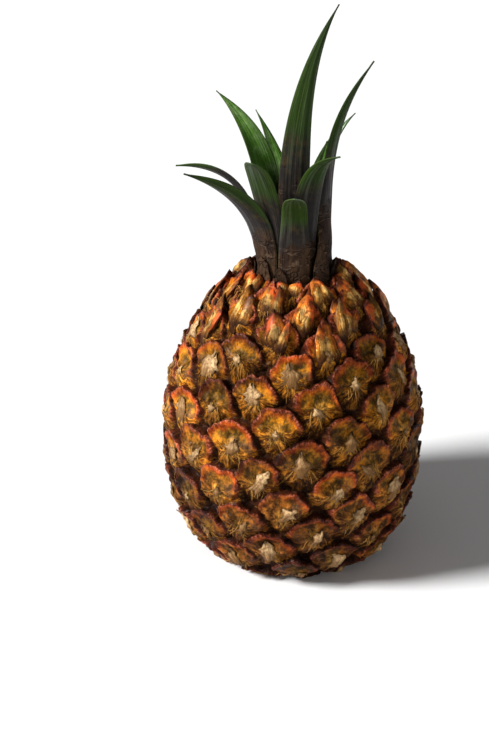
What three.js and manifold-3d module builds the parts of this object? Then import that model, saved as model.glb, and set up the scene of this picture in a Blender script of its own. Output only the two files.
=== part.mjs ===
// A pineapple as picked: an egg-shaped fruit covered in spirals of eyes, standing on its own flat base,
// the cut end of its stalk, and a sparse crown of strap leaves round a short stem. Millimetres, +Z up,
// with the origin on the surface it stands on, under the middle of the fruit. Azimuth 0 looks along +Y:
// a leaf at azimuth 0 faces the viewer (-Y), and one at azimuth 90 leans to the right (+X).
import * as THREE from "three";
import { ConvexHull } from "three/addons/math/ConvexHull.js";
import { mergeVertices } from "three/addons/utils/BufferGeometryUtils.js";
import Module from "manifold-3d";

// ---- Fruit: its outline over the tops of the eyes ----
const BASE_RADIUS = 35; // flat underside
const BASE_ROUND = 21; // how far the base runs on outwards before it turns up
const BELLY_RADIUS = 65.3;
const BELLY_HEIGHT = 68;
const BELLY_DROP = 33; // length of the belly's upright tangent, downwards
const BELLY_RISE = 43; // and upwards
const NECK_RADIUS = 18;
const NECK_HEIGHT = 153.5;
const SHOULDER_RUN = 18.5; // the shoulder's tangent where it meets the neck
const SHOULDER_DROP = 9.6;
const PROFILE_STEPS = 500;

// ---- Eyes: one spiral at the golden angle, which reads as 8 and 13 crossing rows ----
const EYE_COUNT = 148;
const GOLDEN_ANGLE = Math.PI * (3 - Math.sqrt(5));
const FIRST_ANGLE = -0.21;
const FIRST_EYE_RADIUS = 14; // the spiral starts this far from the axis on the underside
const LAST_EYE_RADIUS = 21; // and ends this far from it under the crown
const BASEWARD_SHRINK = 0.6; // below the belly an eye's area goes with this power of the fruit's radius
const CROWNWARD_SHRINK = 1; // and with this one above it, where the eyes draw out into narrow scales
const SHORTEST_EDGE = 3.8; // corners of the net closer than this are one corner
const RINGS = [0.85, 0.54, 0.22]; // rings of each eye, as shares of the way from its middle to its edge
const GROOVE_DEPTH = 4; // of the net of grooves between the eyes
const GROOVE_POWER = 8; // the higher, the flatter the eye and the narrower the groove
const RIM_TILT = 0.8; // how far an eye's upper rim stands out, and its lower one sits in
const DISH_DEPTH = 1.0; // hollow in the upper half of an eye
const BRACT_SWELL = 0.9; // swelling of the lower half, where the bract grows
const BRACT_TIP = 1.7; // how far the bract's tip stands out in the middle of an eye
const BRACT_LIFT = 2.6; // and how far up it points, more towards the crown
const CROWNWARD_LIFT = 5;
const SCALE_RISE = 3; // how much further the eyes' upper ends stand out under the crown

// ---- Cut stalk and crown seat ----
const STALK_RADIUS = 12.5;
const STALK_SOCKET_DEPTH = 7;
const STALK_CHAMFER = 1.2;
const SEAT_RADIUS = 20.2; // recess that the crown grows from
const SEAT_HEIGHT = 148.5;
const CLEARANCE = 0.3;

// ---- Crown ----
const LEAF_FOOT = SEAT_HEIGHT + CLEARANCE;
const STEM_RADIUS = 5.4;
const STEM_TOP_RADIUS = 2.2;
const STEM_LENGTH = 34;
const RING_RADII = [7.4, 10.9, 14.5, 18.2]; // middle of the leaf feet in each whorl, from the inside out
const FOOT_THICKNESS = 2.3;
const TIP_THICKNESS = 0.9;
const EDGE_THICKNESS = 0.8;
const LEAF_STATIONS = 15;
const LEAF_COLUMNS = 5;

// One line for each leaf: its whorl, its azimuth and the half angle that its foot spans, in degrees.
// bend holds two control points and the tip of its midrib, as (outwards, sideways, up) from its foot.
// width is the half width of the blade and flat the half angle of its channel half way up. fullness is
// how late it tapers.
const LEAVES = [
  { name: "front", whorl: 3, azimuth: -2, span: 25, width: 6.4, flat: 5, twist: 0, fullness: 6,
    bend: [[-1, 0, 42], [4, 0, 50], [36, 0, 63.5]] },
  { name: "front_left", whorl: 3, azimuth: -56, span: 26, width: 8.6, flat: 34, twist: 40, fullness: 3.6,
    bend: [[-2, 0, 34], [14, 0, 54], [42, -6, 66]] },
  { name: "left", whorl: 3, azimuth: -100, span: 13, width: 8, flat: 30, twist: 50, fullness: 3,
    bend: [[-2, 0, 40], [14, 0, 59], [41, 0, 55]] },
  { name: "back_left", whorl: 3, azimuth: -131, span: 15, width: 5.6, flat: 36, twist: 0, fullness: 2.2,
    bend: [[0, 0, 24], [1, 0, 44], [8, 0, 58]] },
  { name: "back", whorl: 3, azimuth: 187, span: 23, width: 6.6, flat: 24, twist: 0, fullness: 3,
    bend: [[0, 0, 40], [4, -2, 58], [34, -5, 52]] },
  { name: "right", whorl: 3, azimuth: 98, span: 49, width: 8, flat: 50, twist: -50, fullness: 2.8,
    bend: [[-1, 0, 44], [-5, 0, 76], [19, 0, 110]] },
  { name: "mid_front_left", whorl: 2, azimuth: -38, span: 27, width: 8, flat: 12, twist: 0, fullness: 7,
    bend: [[1.5, -1.5, 44], [13.9, -3.5, 67], [33.6, 11, 77]] },
  { name: "mid_front_right", whorl: 2, azimuth: 16, span: 25, width: 7, flat: 30, twist: 0, fullness: 3.8,
    bend: [[0, 0, 46], [4, 1, 68], [20, 11, 75]] },
  { name: "mid_left", whorl: 2, azimuth: -124, span: 24, width: 8.4, flat: 36, twist: -50, fullness: 2.4,
    bend: [[-2, 0, 50], [7, 0, 74], [32, 0, 88]] },
  { name: "mid_back", whorl: 2, azimuth: -168, span: 18, width: 6.4, flat: 38, twist: 0, fullness: 2.2,
    bend: [[0, 0, 34], [4, 3, 58], [21, 12, 76]] },
  { name: "mid_right", whorl: 2, azimuth: 152, span: 17, width: 5.6, flat: 40, twist: 0, fullness: 2.4,
    bend: [[0, 0, 36], [5, -3, 62], [16, -17, 79]] },
  { name: "tall", whorl: 1, azimuth: -3, span: 42, width: 8.8, flat: 48, twist: 0, fullness: 2.2,
    bend: [[0, -0.5, 50], [-3, -3.5, 100], [-3, 19.5, 142]] },
  { name: "inner_left", whorl: 1, azimuth: -84, span: 34, width: 5.4, flat: 44, twist: 0, fullness: 2.2,
    bend: [[0, 0, 20], [0, 0, 36], [5, 0, 50]] },
  { name: "inner_back", whorl: 1, azimuth: -160, span: 33, width: 5.4, flat: 44, twist: 0, fullness: 2.2,
    bend: [[0, 0, 30], [-2, -2, 52], [2, -5, 74]] },
  { name: "inner_right", whorl: 1, azimuth: 74, span: 30, width: 5, flat: 44, twist: 0, fullness: 2.2,
    bend: [[0, 0, 30], [-3, -1, 54], [4, 3, 72]] },
  { name: "heart_left", whorl: 0, azimuth: -130, span: 60, width: 4, flat: 50, twist: 0, fullness: 2,
    bend: [[0, 0, 24], [-3, 0, 44], [0, 0, 62]] },
  { name: "heart_right", whorl: 0, azimuth: 50, span: 60, width: 4, flat: 50, twist: 0, fullness: 2,
    bend: [[0, 0, 22], [-3, 0, 40], [-1, 0, 56]] },
];

function finish(name, color, roughness) {
  return new THREE.MeshStandardMaterial({ name, color, roughness, metalness: 0 });
}

const GOLDEN_SKIN = finish("rind", 0x9a5a20, 0.6);
const GREEN_BLADE = finish("leaf", 0x2c4a22, 0.45);
const PALE_STEM = finish("stem", 0xb9a877, 0.8);

const wasm = await Module();
wasm.setup();

const radians = THREE.MathUtils.degToRad;
const flatPoint = (x, y) => new THREE.Vector2(x, y);

// A repeatable chance from 0 to 1 for eye number k and trait j.
function chance(k, j) {
  const x = Math.sin(k * 12.9898 + j * 78.233) * 43758.5453;
  return x - Math.floor(x);
}

// ---- Fruit ----

// The outline from the middle of the underside to the middle of the top, as evenly spaced (radius,
// height).
function fruitProfile() {
  const base = flatPoint(BASE_RADIUS, 0);
  const belly = flatPoint(BELLY_RADIUS, BELLY_HEIGHT);
  const neck = flatPoint(NECK_RADIUS, NECK_HEIGHT);
  const path = new THREE.CurvePath();
  path.add(new THREE.LineCurve(flatPoint(0, 0), base));
  path.add(new THREE.CubicBezierCurve(
    base,
    flatPoint(BASE_RADIUS + BASE_ROUND, 0),
    flatPoint(BELLY_RADIUS, BELLY_HEIGHT - BELLY_DROP),
    belly,
  ));
  path.add(new THREE.CubicBezierCurve(
    belly,
    flatPoint(BELLY_RADIUS, BELLY_HEIGHT + BELLY_RISE),
    flatPoint(NECK_RADIUS + SHOULDER_RUN, NECK_HEIGHT - SHOULDER_DROP),
    neck,
  ));
  path.add(new THREE.LineCurve(neck, flatPoint(0, NECK_HEIGHT)));
  return path.getSpacedPoints(PROFILE_STEPS);
}

const profile = fruitProfile();
const bellyIndex = profile.reduce((best, p, i) => (p.x > profile[best].x ? i : best), 0);

// Each profile point's latitude on a unit sphere, by the map that keeps angles, so that round eyes stay
// round.
function sphereLatitudes() {
  const stretch = profile.map(() => 0);
  for (let i = 1; i < profile.length; i++) {
    const radius = Math.max((profile[i].x + profile[i - 1].x) / 2, 1e-3);
    stretch[i] = stretch[i - 1] + profile[i].distanceTo(profile[i - 1]) / radius;
  }
  return stretch.map((s) => Math.atan(Math.sinh(s - stretch[bellyIndex])));
}

const latitudes = sphereLatitudes();

// The profile's index, with a fraction, at a latitude.
function indexAtLatitude(latitude) {
  const next = Math.max(1, latitudes.findIndex((l) => l >= latitude));
  const share = (latitude - latitudes[next - 1]) / (latitudes[next] - latitudes[next - 1]);
  return next - 1 + THREE.MathUtils.clamp(share, 0, 1);
}

function profileAt(index) {
  const low = Math.min(Math.floor(index), profile.length - 2);
  return profile[low].clone().lerp(profile[low + 1], index - low);
}

// An outline point, as (radius, height), turned to an azimuth.
function turnedPoint(outline, azimuth) {
  return new THREE.Vector3(outline.x * Math.cos(azimuth), outline.x * Math.sin(azimuth), outline.y);
}

// The place on the fruit's outline surface nearest to a point, with the outward and the crownward
// direction.
function onSkin(point) {
  const radius = Math.hypot(point.x, point.y);
  let nearest = 1;
  let least = Infinity;
  for (let i = 1; i < profile.length - 1; i++) {
    const gap = (profile[i].x - radius) ** 2 + (profile[i].y - point.z) ** 2;
    if (gap < least) {
      least = gap;
      nearest = i;
    }
  }
  const along = profile[nearest + 1].clone().sub(profile[nearest - 1]).normalize();
  const offset = flatPoint(radius, point.z).sub(profile[nearest]).dot(along);
  const spot = profile[nearest].clone().addScaledVector(along, offset);
  const east = Math.atan2(point.y, point.x);
  return {
    place: turnedPoint(spot, east),
    out: turnedPoint(flatPoint(along.y, -along.x), east),
    up: turnedPoint(along, east),
  };
}

// The middles of the eyes, evenly wound from the underside to the crown, as (azimuth, profile index).
function eyeMiddles() {
  const first = profile.findIndex((p) => p.x >= FIRST_EYE_RADIUS);
  const last = profile.findLastIndex((p) => p.x >= LAST_EYE_RADIUS);
  const filled = [0];
  for (let i = first + 1; i <= last; i++) {
    const shrink = i < bellyIndex ? BASEWARD_SHRINK : CROWNWARD_SHRINK;
    const area = (profile[i].x / BELLY_RADIUS) ** shrink;
    filled.push(filled.at(-1) + (profile[i].x * profile[i].distanceTo(profile[i - 1])) / area);
  }
  return Array.from({ length: EYE_COUNT }, (_, k) => {
    const wanted = (filled.at(-1) * (k + 0.5)) / EYE_COUNT;
    const next = filled.findIndex((f) => f >= wanted);
    const share = (wanted - filled[next - 1]) / (filled[next] - filled[next - 1]);
    return { azimuth: FIRST_ANGLE + k * GOLDEN_ANGLE, index: first + next - 1 + share };
  });
}

function spherePoint(azimuth, latitude) {
  const ring = Math.cos(latitude);
  return new THREE.Vector3(ring * Math.cos(azimuth), ring * Math.sin(azimuth), Math.sin(latitude));
}

// The net between the eyes: its corners on the fruit, and for each eye and both poles the corners round
// it. It is the dual of the eyes' hull on the sphere, and corners that nearly meet are joined.
function eyeNet(eyes) {
  const sites = [new THREE.Vector3(0, 0, -1), new THREE.Vector3(0, 0, 1)];
  for (const eye of eyes) {
    const low = Math.floor(eye.index);
    const latitude = THREE.MathUtils.lerp(latitudes[low], latitudes[low + 1], eye.index - low);
    sites.push(spherePoint(eye.azimuth, latitude));
  }
  sites.forEach((site, i) => (site.number = i));
  const faces = new ConvexHull().setFromPoints(sites).faces.map((face) => {
    const around = [face.edge, face.edge.next, face.edge.prev].map((edge) => edge.head().point.number);
    const outline = profileAt(indexAtLatitude(Math.asin(face.normal.z)));
    const place = turnedPoint(outline, Math.atan2(face.normal.y, face.normal.x));
    return { around, direction: face.normal.clone(), place };
  });
  const corners = [];
  for (const face of faces) {
    const near = corners.find((c) => c.place.distanceTo(face.place) < SHORTEST_EDGE);
    face.corner = near ?? { place: face.place.clone(), number: corners.length };
    if (near) near.place.lerp(face.place, 0.5);
    else corners.push(face.corner);
  }
  const cells = sites.map((site) => {
    const east = new THREE.Vector3(-site.y, site.x, 0);
    if (east.length() < 1e-6) east.set(1, 0, 0);
    east.normalize();
    const north = site.clone().cross(east);
    const turn = (face) => Math.atan2(face.direction.dot(north), face.direction.dot(east));
    const ordered = faces.filter((f) => f.around.includes(site.number)).sort((a, b) => turn(a) - turn(b));
    const round = ordered.map((f) => f.corner);
    return round.filter((corner, i) => corner !== round[(i + 1) % round.length]);
  });
  return { corners, cells };
}

// How far the skin stands out at a point of an eye. rho is its share of the way to the eye's edge, and
// across and upwards its place in the eye, each from -1 to 1.
function relief(rho, across, upwards, crownward, k) {
  const groove = rho ** GROOVE_POWER;
  const boss = -GROOVE_DEPTH * (0.9 + 0.2 * chance(k, 1)) * groove;
  const rise = (RIM_TILT + SCALE_RISE * crownward ** 3) * (0.6 + 0.8 * chance(k, 2));
  const tilt = rise * upwards * rho * (1 - groove);
  const dish = -DISH_DEPTH * Math.exp(-((across / 0.45) ** 2) - ((upwards - 0.3) / 0.35) ** 2);
  const swell = BRACT_SWELL * Math.exp(-((across / 0.4) ** 2) - ((upwards + 0.3) / 0.35) ** 2);
  return boss + tilt + dish + swell;
}

// The skin of the whole fruit as one closed surface, with flat spots where it stands.
function fruitSkin() {
  const eyes = eyeMiddles();
  const { corners, cells } = eyeNet(eyes);
  const points = [];
  const triangles = [];
  const add = (point) => points.push(point.x, point.y, Math.max(point.z, 0)) / 3 - 1;
  const raised = (skin, height) => skin.place.clone().addScaledVector(skin.out, height);
  const cornerPoints = corners.map((corner) => add(raised(onSkin(corner.place), -GROOVE_DEPTH)));
  const middles = new Map();
  const edgeMiddle = (a, b) => {
    const key = Math.min(a.number, b.number) + " " + Math.max(a.number, b.number);
    if (!middles.has(key)) {
      const half = a.place.clone().add(b.place).divideScalar(2);
      middles.set(key, add(raised(onSkin(half), -GROOVE_DEPTH)));
    }
    return middles.get(key);
  };
  const at = (i) => new THREE.Vector3().fromArray(points, i * 3);
  const strip = (outer, inner) => {
    outer.forEach((a, i) => {
      const j = (i + 1) % outer.length;
      triangles.push(a, outer[j], inner[j], a, inner[j], inner[i]);
    });
  };
  const fan = (ring, tip) => ring.forEach((a, i) => triangles.push(a, ring[(i + 1) % ring.length], tip));

  cells.forEach((round, number) => {
    const next = (i) => round[(i + 1) % round.length];
    const edge = round.flatMap((corner, i) => [cornerPoints[corner.number], edgeMiddle(corner, next(i))]);
    if (number < 2) {
      const middle = edge.reduce((sum, i) => sum.add(at(i)), new THREE.Vector3()).divideScalar(edge.length);
      fan(edge, add(middle));
      return;
    }
    const k = number - 2;
    const outline = profileAt(eyes[k].index);
    const middle = onSkin(turnedPoint(outline, eyes[k].azimuth));
    const arms = edge.map((i) => onSkin(at(i)).place.sub(middle.place));
    const reach = arms.reduce((sum, arm) => sum + arm.length(), 0) / arms.length;
    const right = middle.up.clone().cross(middle.out);
    const crownward = Math.max(0, (middle.place.z - BELLY_HEIGHT) / (NECK_HEIGHT - BELLY_HEIGHT));
    let outer = edge;
    for (const rho of RINGS) {
      const inner = arms.map((arm) => {
        const roundness = 0.35 + 0.5 * (1 - rho);
        const length = rho * THREE.MathUtils.lerp(arm.length(), reach, roundness);
        const step = arm.clone().setLength(length);
        const skin = onSkin(middle.place.clone().add(step));
        const height = relief(rho, step.dot(right) / reach, step.dot(middle.up) / reach, crownward, k);
        return add(raised(skin, height));
      });
      strip(outer, inner);
      outer = inner;
    }
    const size = 0.75 + 0.5 * chance(k, 3);
    const tip = raised(middle, BRACT_TIP * size);
    tip.addScaledVector(middle.up, (BRACT_LIFT + CROWNWARD_LIFT * crownward ** 2) * size);
    tip.addScaledVector(right, (chance(k, 4) - 0.5) * 2);
    fan(outer, add(tip));
  });
  const geometry = new THREE.BufferGeometry();
  geometry.setAttribute("position", new THREE.Float32BufferAttribute(points, 3));
  geometry.setIndex(triangles);
  return geometry;
}

function toSolid(geometry) {
  const bare = new THREE.BufferGeometry().setAttribute("position", geometry.getAttribute("position"));
  bare.setIndex(geometry.index);
  const merged = mergeVertices(bare, 1e-3);
  return new wasm.Manifold(new wasm.Mesh({
    numProp: 3,
    vertProperties: new Float32Array(merged.attributes.position.array),
    triVerts: new Uint32Array(merged.index.array),
  }));
}

function toGeometry(solid) {
  const mesh = solid.getMesh();
  const geometry = new THREE.BufferGeometry();
  geometry.setAttribute("position", new THREE.Float32BufferAttribute(mesh.vertProperties, 3));
  geometry.setIndex(new THREE.Uint32BufferAttribute(mesh.triVerts, 1));
  geometry.computeVertexNormals();
  return geometry;
}

// A solid of revolution about Z from (radius, height) points that start and end on the axis.
function turned(points, sides) {
  return new THREE.LatheGeometry(points.map(([r, z]) => flatPoint(r, z)), sides).rotateX(Math.PI / 2);
}

function disc(radius, low, high, sides) {
  return turned([[0, low], [radius, low], [radius, high], [0, high]], sides);
}

function fruit() {
  const socket = disc(STALK_RADIUS + CLEARANCE, -1, STALK_SOCKET_DEPTH, 32);
  const seat = disc(SEAT_RADIUS, SEAT_HEIGHT, NECK_HEIGHT + 2 * SEAT_RADIUS, 40);
  const carved = toSolid(fruitSkin()).subtract(toSolid(socket)).subtract(toSolid(seat));
  const mesh = new THREE.Mesh(toGeometry(carved), GOLDEN_SKIN);
  mesh.name = "fruit";
  return mesh;
}

function cutStalk() {
  const top = STALK_SOCKET_DEPTH - CLEARANCE;
  const rim = STALK_RADIUS - STALK_CHAMFER;
  const outline = [[0, 0], [rim, 0], [STALK_RADIUS, STALK_CHAMFER], [STALK_RADIUS, top], [0, top]];
  const mesh = new THREE.Mesh(turned(outline, 24), PALE_STEM);
  mesh.name = "cut_stalk";
  return mesh;
}

function crownStem() {
  const waist = [STEM_RADIUS * 0.92, STEM_LENGTH * 0.4];
  const outline = [[0, 0], [STEM_RADIUS, 0], waist, [STEM_TOP_RADIUS, STEM_LENGTH], [0, STEM_LENGTH]];
  const mesh = new THREE.Mesh(turned(outline, 16), PALE_STEM);
  mesh.position.z = LEAF_FOOT;
  mesh.name = "crown_stem";
  return mesh;
}

// ---- Crown leaves ----

// Where a point that is given as (outwards, sideways, up) from the leaf's foot stands.
function fromFoot(leaf, [out, side, up]) {
  const azimuth = radians(leaf.azimuth);
  const reach = RING_RADII[leaf.whorl] + out;
  return new THREE.Vector3(
    reach * Math.sin(azimuth) + side * Math.cos(azimuth),
    side * Math.sin(azimuth) - reach * Math.cos(azimuth),
    LEAF_FOOT + up,
  );
}

// The two faces of a leaf's cross section at share t of its length, the outer face first, from edge to
// edge.
function leafSection(leaf, midrib, t) {
  const middle = midrib.getPoint(t);
  const along = midrib.getTangent(t);
  const across = new THREE.Vector3(Math.cos(radians(leaf.azimuth)), Math.sin(radians(leaf.azimuth)), 0);
  across.addScaledVector(along, -across.dot(along)).normalize();
  across.applyAxisAngle(along, radians(leaf.twist) * t);
  const inwards = along.clone().cross(across);
  const opened = THREE.MathUtils.smoothstep(t, 0.1, 0.5);
  const bow = THREE.MathUtils.lerp(radians(leaf.span), radians(leaf.flat), opened);
  const footWidth = RING_RADII[leaf.whorl] * Math.sin(radians(leaf.span));
  const taper = Math.max((1 - t ** leaf.fullness) ** 1.25, 0.02);
  const half = THREE.MathUtils.lerp(footWidth, leaf.width, opened) * taper;
  const thickness = THREE.MathUtils.lerp(FOOT_THICKNESS, TIP_THICKNESS, Math.sqrt(t));
  return [-1, 1].map((side) => Array.from({ length: LEAF_COLUMNS }, (_, j) => {
    const w = (2 * j) / (LEAF_COLUMNS - 1) - 1;
    const angle = bow * w;
    const deep = (side * THREE.MathUtils.lerp(thickness, Math.min(thickness, EDGE_THICKNESS), w * w)) / 2;
    return middle.clone()
      .addScaledVector(across, (half * Math.sin(angle)) / Math.sin(bow) - deep * Math.sin(angle))
      .addScaledVector(inwards, (half * (1 - Math.cos(angle))) / Math.sin(bow) + deep * Math.cos(angle));
  }));
}

// One blade: a channel that is round the stem at its foot and opens out above, lofted along its midrib.
// Both faces are split into triangles along the same diagonals, so that they never cross.
function leafBlade(leaf) {
  const midrib = new THREE.CubicBezierCurve3(
    fromFoot(leaf, [0, 0, 0]),
    ...leaf.bend.map((point) => fromFoot(leaf, point)),
  );
  const points = [];
  for (let i = 0; i < LEAF_STATIONS; i++) {
    const [outerFace, innerFace] = leafSection(leaf, midrib, i / (LEAF_STATIONS - 1));
    for (const p of [...outerFace, ...innerFace]) points.push(p.x, p.y, p.z);
  }
  const ring = 2 * LEAF_COLUMNS;
  const last = LEAF_STATIONS - 1;
  const end = LEAF_COLUMNS - 1;
  const outer = (i, j) => i * ring + j;
  const inner = (i, j) => i * ring + LEAF_COLUMNS + j;
  const triangles = [];
  // Four corners as two triangles, split from a to c.
  const quad = (a, b, c, d) => triangles.push(a, b, c, a, c, d);
  for (let i = 0; i < last; i++) {
    for (let j = 0; j < end; j++) {
      quad(outer(i, j), outer(i, j + 1), outer(i + 1, j + 1), outer(i + 1, j));
      quad(inner(i, j), inner(i + 1, j), inner(i + 1, j + 1), inner(i, j + 1));
    }
    quad(inner(i, 0), outer(i, 0), outer(i + 1, 0), inner(i + 1, 0));
    quad(outer(i, end), inner(i, end), inner(i + 1, end), outer(i + 1, end));
  }
  for (let j = 0; j < end; j++) {
    quad(inner(0, j), inner(0, j + 1), outer(0, j + 1), outer(0, j));
    quad(outer(last, j), outer(last, j + 1), inner(last, j + 1), inner(last, j));
  }
  const geometry = new THREE.BufferGeometry();
  geometry.setAttribute("position", new THREE.Float32BufferAttribute(points, 3));
  geometry.setIndex(triangles);
  geometry.computeVertexNormals();
  const mesh = new THREE.Mesh(geometry, GREEN_BLADE);
  mesh.name = "leaf_" + leaf.name;
  return mesh;
}

const pineapple = new THREE.Group();
pineapple.add(fruit(), cutStalk(), crownStem(), ...LEAVES.map(leafBlade));

export default pineapple;
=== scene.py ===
"""A whole pineapple with its crown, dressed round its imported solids.

The fruit, its papery bract tips, the crown leaves and the two stalk pieces are modelled here in millimetres
and written to their meshes in metres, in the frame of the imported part: +Z up, the viewer at -Y.
"""

import logging
import math
from collections.abc import Callable
from dataclasses import dataclass
from enum import Enum

import bmesh
import bpy
import numpy as np
from bpy.types import Light, Material, Mesh, Node, NodeSocket, NodeTree, Object
from mathutils import Matrix, Vector


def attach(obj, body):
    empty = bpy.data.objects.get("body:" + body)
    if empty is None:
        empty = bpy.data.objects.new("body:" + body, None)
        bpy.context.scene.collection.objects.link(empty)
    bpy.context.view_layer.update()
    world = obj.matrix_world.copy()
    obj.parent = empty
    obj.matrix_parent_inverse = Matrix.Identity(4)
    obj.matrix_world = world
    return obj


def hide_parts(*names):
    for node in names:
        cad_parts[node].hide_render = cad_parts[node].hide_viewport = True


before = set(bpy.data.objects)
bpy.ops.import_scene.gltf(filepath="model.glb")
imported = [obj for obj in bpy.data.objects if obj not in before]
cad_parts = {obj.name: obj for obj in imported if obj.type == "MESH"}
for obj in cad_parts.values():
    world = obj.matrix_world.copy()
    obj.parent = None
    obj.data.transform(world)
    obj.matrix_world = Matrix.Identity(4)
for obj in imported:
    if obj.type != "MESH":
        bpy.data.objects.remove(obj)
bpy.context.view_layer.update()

LOG = logging.getLogger("pineapple")
ROOT = "root"
GOLDEN_ANGLE = math.pi * (3 - math.sqrt(5))
Array = np.ndarray

# Metres in a millimetre, and millimetres in a centimetre, which some UV maps count in.
MM = 0.001
CENTIMETRE = 10
# Spreads phases over about a whole turn, in radians.
TURN = 6.28
# Where the leaves start, in millimetres above the floor.
FOOT_HEIGHT = 148.8
# The sites before the first eye are the middles of the underside and of the top.
FIRST_EYE = 2


class Slot(Enum):
    """The material slots."""

    RIND = "rind"
    LEAF = "leaf"
    STEM = "stem"


# ---- Small mathematics, on whole arrays at once ----


def smoothstep(low: float, high: float, value: Array) -> Array:
    """Eases from 0 at low to 1 at high.

    Args:
        low: The value that gives 0.
        high: The value that gives 1; it may be below low.
        value: The values to ease.

    Returns:
        The eased values, from 0 to 1.
    """
    share = np.clip((value - low) / (high - low), 0, 1)
    return share * share * (3 - 2 * share)


def hump(value: Array, middle: float, spread: float) -> Array:
    """A smooth hump of height 1 round middle, down to a third at one spread away."""
    return np.exp(-(((value - middle) / spread) ** 2))


def chance(number: Array, trait: int) -> Array:
    """A repeatable chance from 0 to 1 for each number and one trait."""
    wild = np.sin(np.asarray(number, float) * 12.9898 + trait * 78.233) * 43758.5453
    return wild - np.floor(wild)


def swing(number: Array, trait: int) -> Array:
    """A repeatable chance from -1 to 1."""
    return 2 * chance(number, trait) - 1


def waves(points: Array, wavelength: float, seed: int) -> Array:
    """Smooth repeatable unevenness at points in space.

    Args:
        points: Places, as rows of three numbers.
        wavelength: The rough distance between crests, in the unit of the points.
        seed: Picks one pattern of waves.

    Returns:
        A value for each point, mostly between -1 and 1.
    """
    maker = np.random.default_rng(seed)
    heading = maker.normal(size=(3, 14))
    heading *= 2 * math.pi * maker.uniform(0.7, 1.4, 14) / (wavelength * np.linalg.norm(heading, axis=0))
    phase = maker.uniform(0, 2 * math.pi, 14)
    return 2.6 * np.sin(points @ heading + phase).mean(axis=1)


def unit(vectors: Array) -> Array:
    """The same directions with length 1."""
    return vectors / np.maximum(np.linalg.norm(vectors, axis=-1, keepdims=True), 1e-9)


def bezier(corners: Array, share: Array) -> Array:
    """Points of a cubic curve with four control points, at each share of its parameter."""
    t = np.asarray(share, float)[:, None]
    a, b, c, d = (np.asarray(p, float) for p in corners)
    return a * (1 - t) ** 3 + 3 * b * t * (1 - t) ** 2 + 3 * c * t**2 * (1 - t) + d * t**3


def bezier_heading(corners: Array, share: Array) -> Array:
    """Unit tangents of the same curve."""
    t = np.asarray(share, float)[:, None]
    a, b, c, d = (np.asarray(p, float) for p in corners)
    return unit((b - a) * (1 - t) ** 2 + 2 * (c - b) * t * (1 - t) + (d - c) * t**2)


# ---- Meshes ----


def make_object(bm: bmesh.types.BMesh, name: str) -> Object:
    """Turns a bmesh into a smooth object at the origin and frees the bmesh."""
    mesh = bpy.data.meshes.new(name)
    bm.to_mesh(mesh)
    bm.free()
    mesh.shade_smooth()
    piece = bpy.data.objects.new(name, mesh)
    bpy.context.scene.collection.objects.link(piece)
    return piece


def corner_vertices(mesh: Mesh) -> Array:
    """The vertex number of each face corner."""
    numbers = np.empty(len(mesh.loops), np.int32)
    mesh.loops.foreach_get("vertex_index", numbers)
    return numbers


def write_maps(mesh: Mesh, **maps: tuple[Array, Array]) -> None:
    """Adds UV maps.

    Args:
        mesh: The mesh that gets them.
        maps: The two numbers of each map, for each vertex or, in the order of the loops, each face corner.
    """
    corners = corner_vertices(mesh)
    for name, pair in maps.items():
        both = np.stack(pair, axis=1)
        if len(both) == len(mesh.vertices):
            both = both[corners]
        mesh.uv_layers.new(name=name).uv.foreach_set("vector", both.astype(np.float32).ravel())


def read_points(mesh: Mesh) -> Array:
    """The mesh's vertices as rows of three numbers."""
    points = np.empty(len(mesh.vertices) * 3, np.float32)
    mesh.vertices.foreach_get("co", points)
    return points.reshape(-1, 3).astype(float)


def write_points(mesh: Mesh, points: Array) -> None:
    """Moves the mesh's vertices to points in millimetres."""
    mesh.vertices.foreach_set("co", np.asarray(points * MM, np.float32).ravel())
    mesh.update()


def hold_in(points: Array, widest: float, lowest: float) -> None:
    """Draws points, in place, in to a distance from the upright axis and up to a height."""
    radius = np.hypot(points[:, 0], points[:, 1])
    points[:, :2] *= np.minimum(1, widest / np.maximum(radius, 1))[:, None]
    points[:, 2] = np.maximum(points[:, 2], lowest)


def grown_vertices(extruded: dict) -> list[bmesh.types.BMVert]:
    """The new vertices of an extrusion."""
    return [item for item in extruded["geom"] if isinstance(item, bmesh.types.BMVert)]


@dataclass
class Slabs:
    """Closed thin slabs, ready to be laid out: one object, and where each of its vertices belongs.

    across runs from -1 to 1 and along from 0 to 1 over each slab; side is -1 on one face and 1 on the other;
    number says which slab a vertex is part of.
    """

    piece: Object
    across: Array
    along: Array
    side: Array
    number: Array

    def lay_out(self, points: Array, **maps: tuple[Array, Array]) -> Object:
        """Gives the slabs their places and their maps and turns their faces outwards.

        Args:
            points: The place of each vertex, in millimetres.
            maps: The two numbers of each UV map, for each vertex.

        Returns:
            The object.
        """
        mesh = self.piece.data
        write_points(mesh, points)
        write_maps(mesh, **maps)
        bm = bmesh.new()
        bm.from_mesh(mesh)
        if bm.calc_volume(signed=True) < 0:
            bmesh.ops.reverse_faces(bm, faces=bm.faces[:])
        bm.to_mesh(mesh)
        bm.free()
        return self.piece


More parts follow.
